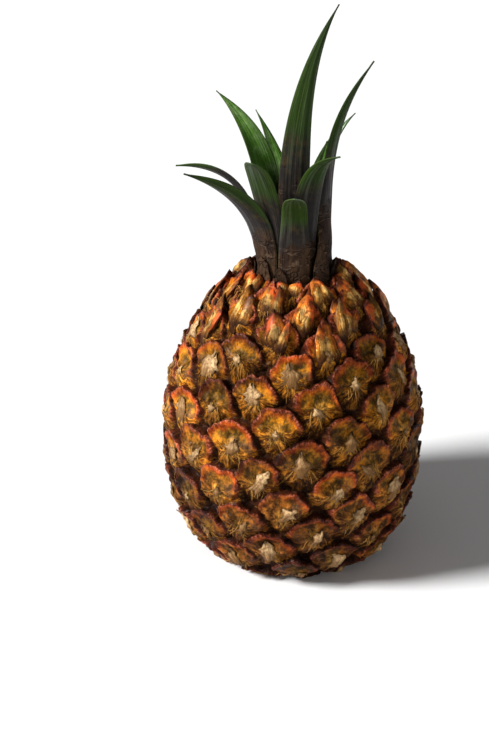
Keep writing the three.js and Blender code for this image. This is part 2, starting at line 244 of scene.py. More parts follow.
def make_slabs(name: str, count: int, columns: int, rows: int) -> Slabs:
    """Makes some grids and extrudes each of them to a closed slab.

    Args:
        name: The object's name.
        count: How many slabs.
        columns: Faces over the width of each.
        rows: Faces over its length.

    Returns:
        The slabs, still square, in a row.
    """
    apart = 3
    bm = bmesh.new()
    for number in range(count):
        place = Matrix.Translation((apart * number, 0, 0))
        bmesh.ops.create_grid(bm, x_segments=columns, y_segments=rows, size=1, matrix=place)
    thickened = bmesh.ops.extrude_face_region(bm, geom=bm.faces[:], use_keep_orig=True)
    bmesh.ops.translate(bm, verts=grown_vertices(thickened), vec=(0, 0, 1))
    bmesh.ops.recalc_face_normals(bm, faces=bm.faces[:])
    piece = make_object(bm, name)
    flat = read_points(piece.data)
    number = np.round(flat[:, 0] / apart).astype(int)
    return Slabs(piece, flat[:, 0] - apart * number, (flat[:, 1] + 1) / 2, flat[:, 2] * 2 - 1, number)


def enlist(piece: Object, slot: Slot, finish: Material, *nodes: str) -> Object:
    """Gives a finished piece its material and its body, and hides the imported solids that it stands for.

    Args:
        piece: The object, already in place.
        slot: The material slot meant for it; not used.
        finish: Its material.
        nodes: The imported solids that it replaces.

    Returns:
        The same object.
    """
    piece.data.materials.clear()
    piece.data.materials.append(finish)
    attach(piece, ROOT)
    if nodes:
        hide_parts(*nodes)
    LOG.info("%s: %d faces", piece.name, len(piece.data.polygons))
    return piece


# ---- Shader nodes ----


class Field:
    """What one node puts out; arithmetic on it adds further nodes."""

    def __init__(self, bench: "Bench", socket: NodeSocket) -> None:
        """Wraps an output socket."""
        self.bench = bench
        self.socket = socket

    def __add__(self, other: object) -> "Field":
        """The sum."""
        return self.bench.math("ADD", self, other)

    def __sub__(self, other: object) -> "Field":
        """The difference."""
        return self.bench.math("SUBTRACT", self, other)

    def __rsub__(self, other: object) -> "Field":
        """The difference from a number."""
        return self.bench.math("SUBTRACT", other, self)

    def __mul__(self, other: object) -> "Field":
        """The product."""
        return self.bench.math("MULTIPLY", self, other)

    def __abs__(self) -> "Field":
        """The size without its sign."""
        return self.bench.math("ABSOLUTE", self)

    def step(self, low: object, high: object) -> "Field":
        """Eases from 0 at low to 1 at high."""
        inputs = {"Value": self, "From Min": low, "From Max": high}
        return self.bench.add("ShaderNodeMapRange", "Result", inputs, interpolation_type="SMOOTHSTEP")


class Bench:
    """Adds nodes to one node tree and joins them up.

    Values that are handed to its methods are fields, numbers, vectors or colours.
    """

    def __init__(self, tree: NodeTree) -> None:
        """Starts on an empty tree."""
        self.tree = tree
        self.tree.nodes.clear()

    def node(self, kind: str, inputs: dict, **settings: object) -> Node:
        """Adds one node.

        Args:
            kind: The node's type name.
            inputs: What each input socket, by name or number, is set to or fed from.
            settings: The node's own options.

        Returns:
            The node.
        """
        node = self.tree.nodes.new(kind)
        for key, value in settings.items():
            setattr(node, key, value)
        for key, value in inputs.items():
            socket = node.inputs[key]
            if isinstance(value, Field):
                self.tree.links.new(value.socket, socket)
            else:
                socket.default_value = value[:3] if socket.type == "VECTOR" else value
        return node

    def add(self, kind: str, output: str | int, inputs: dict | None = None, **settings: object) -> Field:
        """Adds one node, as node() does, and returns the output of that name or number."""
        return Field(self, self.node(kind, inputs or {}, **settings).outputs[output])

    def math(self, operation: str, a: object, b: object = 0.0) -> Field:
        """One arithmetic step on numbers."""
        return self.add("ShaderNodeMath", 0, {0: a, 1: b}, operation=operation)

    def vector(self, operation: str, a: object, b: object = (0, 0, 0)) -> Field:
        """One arithmetic step on vectors; b is a number if it scales them."""
        output = "Value" if operation == "LENGTH" else "Vector"
        second = "Scale" if operation == "SCALE" else 1
        return self.add("ShaderNodeVectorMath", output, {0: a, second: b}, operation=operation)

    def blend(self, share: object, a: object, b: object) -> Field:
        """A colour between a and b."""
        return self.add("ShaderNodeMix", 2, {0: share, 6: a, 7: b}, data_type="RGBA")

    def coat(self, colour: object, *coats: tuple[Field, object]) -> Field:
        """The colour under coats, each of them a share of cover and a colour."""
        for cover, paint in coats:
            colour = self.blend(cover, colour, paint)
        return colour

    def shade(self, colour: object, *factors: Field) -> Field:
        """The colour times some numbers."""
        for factor in factors:
            colour = self.vector("SCALE", colour, factor)
        return colour

    def join(self, x: object = 0.0, y: object = 0.0, z: object = 0.0) -> Field:
        """A vector from three numbers."""
        return self.add("ShaderNodeCombineXYZ", "Vector", {"X": x, "Y": y, "Z": z})

    def length(self, x: object, y: object) -> Field:
        """How long the vector from two numbers is."""
        return self.vector("LENGTH", self.join(x, y))

    def split(self, vector: object) -> tuple[Field, ...]:
        """The three numbers of a vector."""
        node = self.node("ShaderNodeSeparateXYZ", {"Vector": vector})
        return tuple(Field(self, number) for number in node.outputs)

    def uv(self, name: str) -> tuple[Field, Field]:
        """The two numbers of one of the piece's UV maps."""
        return self.split(self.add("ShaderNodeUVMap", "UV", uv_map=name))[:2]

    def place(self) -> Field:
        """The place on the piece, in metres."""
        return self.add("ShaderNodeTexCoord", "Object")

    def noise(self, vector: object, scale: object, detail: float = 3.0, rough: float = 0.55) -> Field:
        """Soft noise from 0 to 1."""
        inputs = {"Vector": vector, "Scale": scale, "Detail": detail, "Roughness": rough}
        return self.add("ShaderNodeTexNoise", 0, inputs)

    def bump(self, height: object, depth: float, under: Field | None = None) -> Field:
        """A normal from a height of 0 to 1 that stands for depth, in millimetres, over another normal."""
        inputs = {"Height": height, "Distance": depth * MM, "Strength": 1.0}
        if under is not None:
            inputs["Normal"] = under
        return self.add("ShaderNodeBump", "Normal", inputs)

    def group(self, tree: NodeTree, **inputs: object) -> Field:
        """What a node group puts out."""
        return self.add("ShaderNodeGroup", 0, inputs, node_tree=tree)


def make_group(name: str, fill: Callable[..., Field], **inputs: object) -> NodeTree:
    """Makes a shader node group that puts out a mask.

    Args:
        name: The group's name.
        fill: Makes the mask, from a bench and a field for each input.
        inputs: Each input's name and its default: a number, or three numbers for a vector.

    Returns:
        The group's tree.
    """
    tree = bpy.data.node_groups.new(name, "ShaderNodeTree")
    bench = Bench(tree)
    for key, default in inputs.items():
        kind = "NodeSocketFloat" if isinstance(default, float) else "NodeSocketVector"
        tree.interface.new_socket(key, in_out="INPUT", socket_type=kind).default_value = default
    tree.interface.new_socket("Mask", in_out="OUTPUT", socket_type="NodeSocketFloat")
    given = tree.nodes.new("NodeGroupInput").outputs
    bench.node("NodeGroupOutput", {"Mask": fill(bench, *(Field(bench, given[key]) for key in inputs))})
    return tree


def spin_streaks(bench: Bench, vector: Field, across: Field, along: Field, sharpness: Field) -> Field:
    """Fibres that run along the vector's Y and are narrow across its X."""
    x, y, z = bench.split(vector)
    spun = bench.noise(bench.join(x * across, y * along, z), 1.0, 4.0, 0.6)
    half = 0.4 - sharpness * 0.3
    return spun.step(0.5 - half, half + 0.5)


def dab_mottle(bench: Bench, vector: Field, scale: Field, cover: Field, softness: Field) -> Field:
    """Soft blotches with a set share of cover."""
    edge = 0.7 - cover * 0.4
    return bench.noise(vector, scale, 4.0, 0.6).step(edge - softness, edge + softness)


def fold_wrinkles(bench: Bench, vector: Field, scale: Field, width: Field) -> Field:
    """The wandering creases of dried papery skin."""
    return abs(bench.noise(vector, scale, 3.0, 0.6) - 0.5).step(width, 0.0)


class SharedEffects:
    """The node groups that several finishes use."""

    def __init__(self) -> None:
        """Makes each group once."""
        start = (0.0, 0.0, 0.0)
        self.streaks = make_group(
            "Fibre streaks", spin_streaks, Vector=start, Across=8.0, Along=1.0, Sharpness=0.5
        )
        self.mottle = make_group("Mottle", dab_mottle, Vector=start, Scale=100.0, Cover=0.5, Softness=0.1)
        self.wrinkles = make_group("Wrinkles", fold_wrinkles, Vector=start, Scale=200.0, Width=0.03)


Colour = tuple[float, float, float, float]


def rgb(red: float, green: float, blue: float) -> Colour:
    """A linear colour with full cover."""
    return (red, green, blue, 1.0)


@dataclass(frozen=True)
class Finish:
    """What every finish has: a name and the shared effects that it draws on."""

    effects: SharedEffects
    name: str = "finish"

    def surface(self, bench: Bench) -> dict[str, object]:
        """Mixes what goes into the shader.

        Args:
            bench: The bench on the material's tree.

        Returns:
            A number, a colour or a field for each of the shader's inputs that is set.
        """
        raise NotImplementedError

    def build(self) -> Material:
        """Makes the material round a Principled shader."""
        material = bpy.data.materials.new(self.name)
        material.use_nodes = True
        bench = Bench(material.node_tree)
        shader = bench.add("ShaderNodeBsdfPrincipled", "BSDF", self.surface(bench))
        bench.node("ShaderNodeOutputMaterial", {"Surface": shader})
        return material


@dataclass(frozen=True)
class RindFinish(Finish):
    """Waxy golden eyes with red rims and fibrous lower halves, with near-black dirt and painted shade in the
    grooves.
    """

    name: str = "rind"
    gold: Colour = rgb(0.46, 0.155, 0.006)
    russet: Colour = rgb(0.26, 0.078, 0.012)
    umber: Colour = rgb(0.072, 0.026, 0.008)
    brown: Colour = rgb(0.050, 0.014, 0.0025)
    ochre: Colour = rgb(0.30, 0.105, 0.005)
    olive: Colour = rgb(0.105, 0.052, 0.006)
    maroon: Colour = rgb(0.050, 0.0065, 0.004)
    orange: Colour = rgb(0.30, 0.044, 0.005)
    pink: Colour = rgb(0.34, 0.095, 0.055)
    straw: Colour = rgb(0.58, 0.30, 0.055)
    ash: Colour = rgb(0.13, 0.078, 0.050)
    # Near black: dirt and painted shade in the grooves and along the eyes' borders.
    groove_dirt_and_shade: Colour = rgb(0.022, 0.0065, 0.0025)

    def surface(self, bench: Bench) -> dict[str, object]:
        """Mixes the inputs from the maps eye, rim and chance of the piece."""
        place = bench.place()
        x, y = bench.uv("eye")
        edge, height = bench.uv("rim")
        luck, other = bench.uv("chance")
        cloud = bench.noise(place, 190.0, 4.0, 0.65)
        broad = bench.noise(place, 38.0, 2.0, 0.5)
        grit = bench.noise(place, 900.0, 2.0, 0.6)

        # Rays of fibre fan out from a middle that is a little elsewhere in each eye.
        lowered = luck * 0.36 + (y - 0.06)
        shifted = other * 0.4 + (x - 0.2)
        rho = bench.length(shifted, lowered)
        spoke_x, spoke_y, _ = bench.split(bench.vector("NORMALIZE", bench.join(shifted, lowered)))
        rays = bench.join(spoke_x * 4.0 + (luck * 40.0 + cloud * 1.6), spoke_y * 4.0, rho * 1.4)
        coarse = bench.noise(rays, 1.0, 4.0, 0.6)
        fine = bench.noise(rays, 3.6, 3.0, 0.65)
        threads = (fine * 0.3 + coarse * 0.7).step(0.42, 0.6)

        # The fan below and the smooth hollow above, redder and darker low on the fruit.
        upper = (cloud * 0.7 + y).step(0.2, 0.6)
        low = (broad * 0.05 + bench.split(place)[2]).step(0.125, 0.06)
        worn = other.step(0.75, 0.25) * 0.35
        light = bench.blend(bench.math("MAXIMUM", low * 0.9, worn), self.gold, self.russet)
        warm = low * 0.85
        dark_hollow = bench.blend(warm, self.olive, self.umber)
        pale_hollow = bench.blend(warm, self.ochre, self.russet)
        patches = (coarse * 0.35 + cloud).step(0.58, 0.85)
        hollow = bench.blend(patches, dark_hollow, pale_hollow)
        skin = bench.blend(upper, bench.blend(threads, self.brown, light), hollow)

        # The rim, from its flush inwards to the groove outside, with a torn pink crest and painted shade
        # along the eye's border.
        ragged = cloud * 0.12 + (fine * 0.09 + edge - 0.105)
        topward = (coarse * 0.4 + y).step(-0.15, 0.45)
        flush = (cloud * 0.3 + ragged).step(0.72, 0.44) * topward
        warmth = broad.step(0.34, 0.54) * 0.6 + other * 0.4
        rim = (other * 0.08 + ragged).step(0.38, 0.24) * topward
        # Painted shade along the border of each eye, in the near-black groove colour.
        painted_border_shade = ragged.step(0.19, 0.07)
        crest = ragged.step(0.14, 0.2) * ragged.step(0.32, 0.22) * topward * fine.step(0.46, 0.58)

        # Cracks between the rays, and pale fibres in the middle of the fan and below it; the fine pale
        # streaks are partly painted highlights on the ridges.
        cracks = fine.step(0.43, 0.35) * rho.step(0.1, 0.3) * (1.0 - upper * 0.7)
        heart = bench.length(x * 1.35, lowered).step(0.62, 0.05) * (threads * 0.85 + 0.08)
        # Fine pale streaks: fibres below the heart, partly painted highlights on ridges, faint over the
        # hollow too.
        wisps_and_highlights = (y.step(0.2, -0.15) * 0.5 + 0.06) * fine.step(0.56, 0.64)
        shadow = (coarse * 0.5 + y).step(0.05, -0.6)
        skin = bench.coat(
            skin,
            (flush * warmth, self.orange),
            (rim * 0.9, self.maroon),
            (painted_border_shade * 0.85, self.groove_dirt_and_shade),
            (crest * 0.6, self.pink),
            (cracks * 0.8, self.brown),
            (heart, self.straw),
            (wisps_and_highlights, self.straw),
        )
        skin = bench.shade(skin, 1.06 - shadow * 0.4)

        # A grey dried lobe at one side of some eyes, then dirt and painted shade deep in the grooves, and the
        # unevenness.
        side = x * bench.math("SIGN", luck - 0.5) - 0.6
        lobe = (cloud * 1.3 + bench.length(side, y - 0.1)).step(1.15, 0.75)
        lobe = lobe * other.step(0.6, 0.8) * fine.step(0.62, 0.42)
        # Darker where the skin lies deep: partly dirt, partly painted shade.
        sunk_dirt_and_shade = (coarse * 0.12 + height).step(-0.07, -0.26)
        skin = bench.coat(skin, (lobe * 0.5, self.ash), (sunk_dirt_and_shade * 0.75, self.groove_dirt_and_shade))
        blotch = cloud.step(0.32, 0.66) * 1.25 + 0.4
        skin = bench.shade(skin, blotch, grit * 0.9 + 0.55, luck * 0.9 + 0.55, broad + 0.5, 1.0 - low * 0.4)

        folds = bench.bump(abs(bench.noise(place, 150.0, 3.0, 0.6) - 0.5), 2.4)
        ribbed = bench.bump(threads * (1.0 - upper * 0.6), 0.5, folds)
        return {
            "Base Color": skin,
            "Roughness": sunk_dirt_and_shade * 0.35 + (0.46 - threads * 0.12),
            "Specular IOR Level": 0.045,
            "Coat Weight": threads * 0.07,
            "Coat Roughness": 0.3,
            "Normal": bench.bump(grit, 0.15, ribbed),
        }


@dataclass(frozen=True)
class PaperFinish(Finish):
    """Dry papery bract tips, cream in the middle and brown where they tear."""

    name: str = "bract_paper"
    cream: Colour = rgb(0.72, 0.47, 0.23)
    tan: Colour = rgb(0.20, 0.092, 0.024)
    scorched: Colour = rgb(0.040, 0.014, 0.005)

    def surface(self, bench: Bench) -> dict[str, object]:
        """Mixes the inputs from the maps blade and chance of the piece."""
        place = bench.place()
        across, along = bench.uv("blade")
        luck, other = bench.uv("chance")
        vector = bench.join(across, along, luck * 30.0)
        streaks = bench.group(self.effects.streaks, Vector=vector, Across=3.5, Along=0.9, Sharpness=0.5)
        blotches = bench.group(self.effects.mottle, Vector=place, Scale=300.0, Cover=0.45)
        crinkles = bench.noise(place, 620.0, 3.0, 0.65)
        dull = along.step(0.45, 0.05) * 0.6 + (other.step(0.25, 0.8) * 0.7 + streaks * 0.5)
        border = abs(across).step(0.6, 1.05) * (blotches * 0.75 + 0.2)
        creased = crinkles.step(0.54, 0.4) * 0.7
        paper = bench.coat(self.cream, (dull, self.tan), (border, self.scorched), (creased, self.tan))
        return {
            "Base Color": bench.shade(paper, 1.1 - streaks * 0.4),
            "Roughness": streaks * 0.2 + 0.5,
            "Specular IOR Level": 0.2,
            "Normal": bench.bump(crinkles, 0.5, bench.bump(streaks, 0.25)),
        }


@dataclass(frozen=True)
class ScaleFinish(Finish):
    """The long narrow scales under the crown: golden and ribbed, with orange-red edges."""

    name: str = "neck_scale"
    gold: Colour = rgb(0.45, 0.16, 0.010)
    brown: Colour = rgb(0.036, 0.011, 0.003)
    olive: Colour = rgb(0.095, 0.052, 0.009)
    orange: Colour = rgb(0.42, 0.062, 0.012)
    maroon: Colour = rgb(0.030, 0.006, 0.003)
    straw: Colour = rgb(0.68, 0.42, 0.13)

    def surface(self, bench: Bench) -> dict[str, object]:
        """Mixes the inputs from the maps blade and chance of the piece."""
        place = bench.place()
        across, along = bench.uv("blade")
        luck, other = bench.uv("chance")
        vector = bench.join(across, along, luck * 30.0)
        streaks = bench.group(self.effects.streaks, Vector=vector, Across=5.0, Along=0.8, Sharpness=0.6)
        cloud = bench.noise(place, 200.0, 4.0, 0.6)
        speckle = bench.noise(place, 600.0, 3.0, 0.6)

        lower = (cloud * 0.5 + along).step(0.95, 0.6)
        smooth = bench.blend((other * 0.25 + cloud).step(0.52, 0.85), self.olive, self.gold)
        fibrous = bench.blend(streaks, self.brown, self.gold)
        worn = cloud * 0.6 + bench.math("MAXIMUM", abs(across) * 0.9, along)
        sided = (across * bench.math("SIGN", luck - 0.5)).step(-0.3, 0.5)
        flush = worn.step(0.72, 1.0) * (sided * 0.6 + 0.4) * along.step(0.25, 0.5)
        pale = speckle.step(0.53, 0.66) * streaks.step(0.3, 0.7)
        torn = (speckle * 1.4 + bench.length(across * 1.1, along * 2.4 - 1.0)).step(1.15, 0.95)
        border = bench.math("MAXIMUM", worn.step(1.06, 1.2), along.step(0.93, 0.98))
        skin = bench.coat(
            smooth,
            (lower * 0.75 + 0.15, fibrous),
            (flush * other.step(0.0, 0.4), self.orange),
            (pale * (lower * 0.7 + 0.12), self.straw),
            (torn * (streaks * 0.45 + 0.25), self.straw),
            # The dark border is partly the scale's own dark edge and partly painted shade in the gaps.
            (border * 0.9, self.maroon),
            # Brown towards the base: painted shade where the scale tucks under.
            (along.step(0.4, 0.1), self.brown),
        )
        ribs = bench.bump(streaks * (lower * 0.7 + 0.3), 0.5)
        return {
            "Base Color": bench.shade(skin, luck + 0.6, cloud.step(0.35, 0.65) * 0.9 + 0.6),
            "Roughness": 0.55 - streaks * 0.15,
            "Specular IOR Level": 0.1,
            "Coat Weight": (1.0 - lower) * 0.12,
            "Coat Roughness": 0.3,
            "Normal": bench.bump(abs(cloud - 0.5), 1.6, ribs),
        }


@dataclass(frozen=True)
class FibreFinish(Finish):
    """Fine dry threads, from straw to brown."""

    name: str = "bract_fibre"
    straw: Colour = rgb(0.60, 0.32, 0.075)
    rust: Colour = rgb(0.20, 0.066, 0.010)

    def surface(self, bench: Bench) -> dict[str, object]:
        """Mixes the inputs from the place on the piece."""
        place = bench.place()
        patch = bench.group(self.effects.mottle, Vector=place, Scale=90.0, Cover=0.5, Softness=0.2)
        grain = bench.noise(place, 1500.0, 2.0)
        return {
            "Base Color": bench.shade(bench.blend(patch, self.rust, self.straw), grain * 0.8 + 0.6),
            "Roughness": grain * 0.3 + 0.45,
            "Specular IOR Level": 0.15,
            "Normal": bench.bump(grain, 0.08),
        }


@dataclass(frozen=True)
class LeafFinish(Finish):
    """Stiff waxy blades: grey bloom over green outside, bright green inside, papery scruff at the foot."""

    name: str = "leaf"
    bloom: Colour = rgb(0.0080, 0.0064, 0.0056)
    bloom_light: Colour = rgb(0.0195, 0.0158, 0.0148)
    green: Colour = rgb(0.0070, 0.017, 0.001)
    green_light: Colour = rgb(0.024, 0.056, 0.002)
    inner_green: Colour = rgb(0.028, 0.098, 0.005)
    inner_light: Colour = rgb(0.125, 0.29, 0.030)
    rust: Colour = rgb(0.040, 0.026, 0.007)
    # A pale grey painted sheen.
    painted_sheen: Colour = rgb(0.085, 0.098, 0.070)
    # Pale smears: partly wax, partly painted glare.
    wax_and_glare: Colour = rgb(0.30, 0.39, 0.20)
    rim: Colour = rgb(0.036, 0.062, 0.010)
    scruff: Colour = rgb(0.018, 0.0080, 0.004)
    paper: Colour = rgb(0.062, 0.031, 0.014)
    # A pale painted highlight for the ridges of the wrinkles.
    painted_crease_light: Colour = rgb(0.125, 0.080, 0.048)

    def surface(self, bench: Bench) -> dict[str, object]:
        """Mixes the inputs from the maps blade, tone and side of the piece."""
        place = bench.place()
        blade = bench.join(*bench.uv("blade"))
        greenness, dryness = bench.uv("tone")
        side, edge = bench.uv("side")
        veins = bench.group(self.effects.streaks, Vector=blade, Across=16.0, Along=0.2, Sharpness=0.4)
        bands = bench.group(self.effects.streaks, Vector=blade, Across=4.0, Along=0.12, Sharpness=0.55)
        cloud = bench.noise(place, 75.0, 4.0, 0.6)
        speckle = bench.noise(place, 320.0, 4.0, 0.6)

        # The outer face turns from grey to green up the blade, through rust, under pale streaks of painted
        # sheen.
        lighter = bands * 0.5 + cloud.step(0.35, 0.65) * 0.5
        grey = bench.blend(lighter, self.bloom, self.bloom_light)
        lush = bench.blend(bands * 0.7 + veins * 0.3, self.green, self.green_light)
        uneven = bands * 0.25 + (cloud * 0.7 + greenness)
        turned = uneven.step(0.6, 1.4)
        between = uneven.step(0.45, 0.8) * uneven.step(1.2, 0.85) * speckle.step(0.42, 0.62)
        # Pale grey streaks of painted sheen.
        sheen_streaks = bands.step(0.5, 0.8) * uneven.step(0.5, 0.9)
        outside = bench.coat(grey, (turned, lush), (between * 0.75, self.rust), (sheen_streaks * 0.2, self.painted_sheen))

        # The inner face is a brighter green, with pale smears that are partly wax and partly painted glare.
        bright = bench.blend(bands * 0.6 + veins * 0.3, self.inner_green, self.inner_light)
        # Pale smears, partly wax and partly painted glare.
        wax_and_glare_smears = bench.group(self.effects.mottle, Vector=place, Scale=80.0, Cover=0.44, Softness=0.07)
        wax_and_glare_smears = wax_and_glare_smears * greenness.step(1.3, 0.7) * (veins * 0.4 + 0.35)
        inside = bench.coat(grey, ((cloud * 0.5 + greenness).step(0.1, 0.8), bright), (wax_and_glare_smears, self.wax_and_glare))

        # Dry skin flakes over both towards the foot, with painted shade in its creases and painted highlights
        # along its wrinkles.
        creases = bench.group(self.effects.wrinkles, Vector=place, Scale=70.0, Width=0.02)
        squashed = bench.vector("MULTIPLY", place, (1.0, 1.0, 2.0))
        arcs = bench.group(self.effects.wrinkles, Vector=squashed, Scale=42.0, Width=0.024)
        flattened = bench.vector("MULTIPLY", place, (1.0, 1.0, 0.5))
        flakes = bench.noise(flattened, 95.0, 4.0, 0.6).step(0.38, 0.62)
        patches = (cloud * 1.5 + dryness).step(0.95, 1.35)
        # The dark creases are painted shade; the pale arcs are painted highlights on the wrinkles.
        dried = bench.coat(
            self.scruff, (flakes, self.paper), (creases * 0.75, self.scruff), (arcs * 0.5, self.painted_crease_light)
        )
        skin = bench.coat(
            outside,
            (side, inside),
            (patches * 0.9, dried),
            # A lighter green band towards the edges, up the blade, is painted edge light.
            (edge.step(0.55, 0.92) * (turned * 0.55), self.green_light),
            (edge.step(0.93, 0.985) * (turned * 0.6 + 0.15), self.rim),
        )
        sheen = bands.step(0.5, 0.9) * (1.0 - patches)
        ribs = bench.bump(bands, 0.45, bench.bump(veins, 0.12))
        return {
            "Base Color": bench.shade(skin, veins * 0.4 + 0.78, speckle * 0.6 + 0.7),
            "Roughness": cloud * 0.12 + (patches * 0.2 + 0.5),
            "Specular IOR Level": 0.12,
            "Coat Weight": side * 0.25 + sheen * 0.26,
            "Coat Roughness": 0.28,
            "Normal": bench.bump((flakes - creases + arcs) * patches, 0.7, ribs),
        }


@dataclass(frozen=True)
class StemFinish(Finish):
    """Pale dry stalk tissue with darker vessels."""

    name: str = "stem"
    pale: Colour = rgb(0.48, 0.36, 0.17)
    dry: Colour = rgb(0.20, 0.11, 0.045)

    def surface(self, bench: Bench) -> dict[str, object]:
        """Mixes the inputs from the place on the piece."""
        place = bench.place()
        dots = bench.add("ShaderNodeTexVoronoi", "Distance", {"Vector": place, "Scale": 700.0})
        vessels = dots.step(0.35, 0.15)
        patch = bench.group(self.effects.mottle, Vector=place, Scale=160.0, Cover=0.5, Softness=0.15)
        return {
            "Base Color": bench.blend(bench.math("MAXIMUM", vessels, patch), self.pale, self.dry),
            "Roughness": patch * 0.1 + 0.75,
            "Normal": bench.bump(vessels, 0.25),
        }


@dataclass(frozen=True)
class FloorFinish(Finish):
    """Plain pale paper, with the faintest unevenness."""

    name: str = "floor_paper"
    pale: Colour = rgb(0.86, 0.86, 0.86)

    def surface(self, bench: Bench) -> dict[str, object]:
        """Mixes the inputs from the place on the floor."""
        cloud = bench.noise(bench.place(), 3.0, 2.0)
        return {"Base Color": bench.shade(self.pale, cloud * 0.01 + 0.995), "Roughness": cloud * 0.05 + 0.9}


# ---- The fruit ----


def lengths_along(line: Array) -> Array:
    """How far each point of a line lies along it."""
    return np.concatenate([[0], np.cumsum(np.linalg.norm(np.diff(line, axis=0), axis=1))])


@dataclass(frozen=True)
class FruitOutline:
    """The fruit's outline over the tops of its eyes, turned about the upright axis."""

    base_radius: float = 35.0
    base_round: float = 21.0
    belly_radius: float = 65.3
    belly_height: float = 68.0
    belly_drop: float = 33.0
    belly_rise: float = 43.0
    neck_radius: float = 18.0
    neck_height: float = 153.5
    shoulder_run: float = 18.5
    shoulder_drop: float = 9.6
    samples: int = 400
    steps: int = 900

    def points(self) -> Array:
        """Evenly spaced (radius, height) rows from the middle of the underside to the middle of the top."""
        share = np.linspace(0, 1, self.samples)
        base = (self.base_radius, 0)
        foot = (self.base_radius + self.base_round, 0)
        flank = (self.belly_radius, self.belly_height - self.belly_drop)
        belly = (self.belly_radius, self.belly_height)
        breast = (self.belly_radius, self.belly_height + self.belly_rise)
        shoulder = (self.neck_radius + self.shoulder_run, self.neck_height - self.shoulder_drop)
        neck = (self.neck_radius, self.neck_height)
        lower = bezier((base, foot, flank, belly), share)
        upper = bezier((belly, breast, shoulder, neck), share)
        line = np.vstack([[(0, 0)], lower, upper[1:], [(0, self.neck_height)]])
        length = lengths_along(line)
        even = np.linspace(0, length[-1], self.steps + 1)
        return np.stack([np.interp(even, length, line[:, 0]), np.interp(even, length, line[:, 1])], axis=1)


@dataclass
class Spots:
    """Where some places of the skin lie: seen from which eye, where from it, and how the skin runs there."""

    eye: Array
    reach: Array
    across: Array
    upward: Array
    crownward: Array
    place: Array
    out: Array
    up: Array


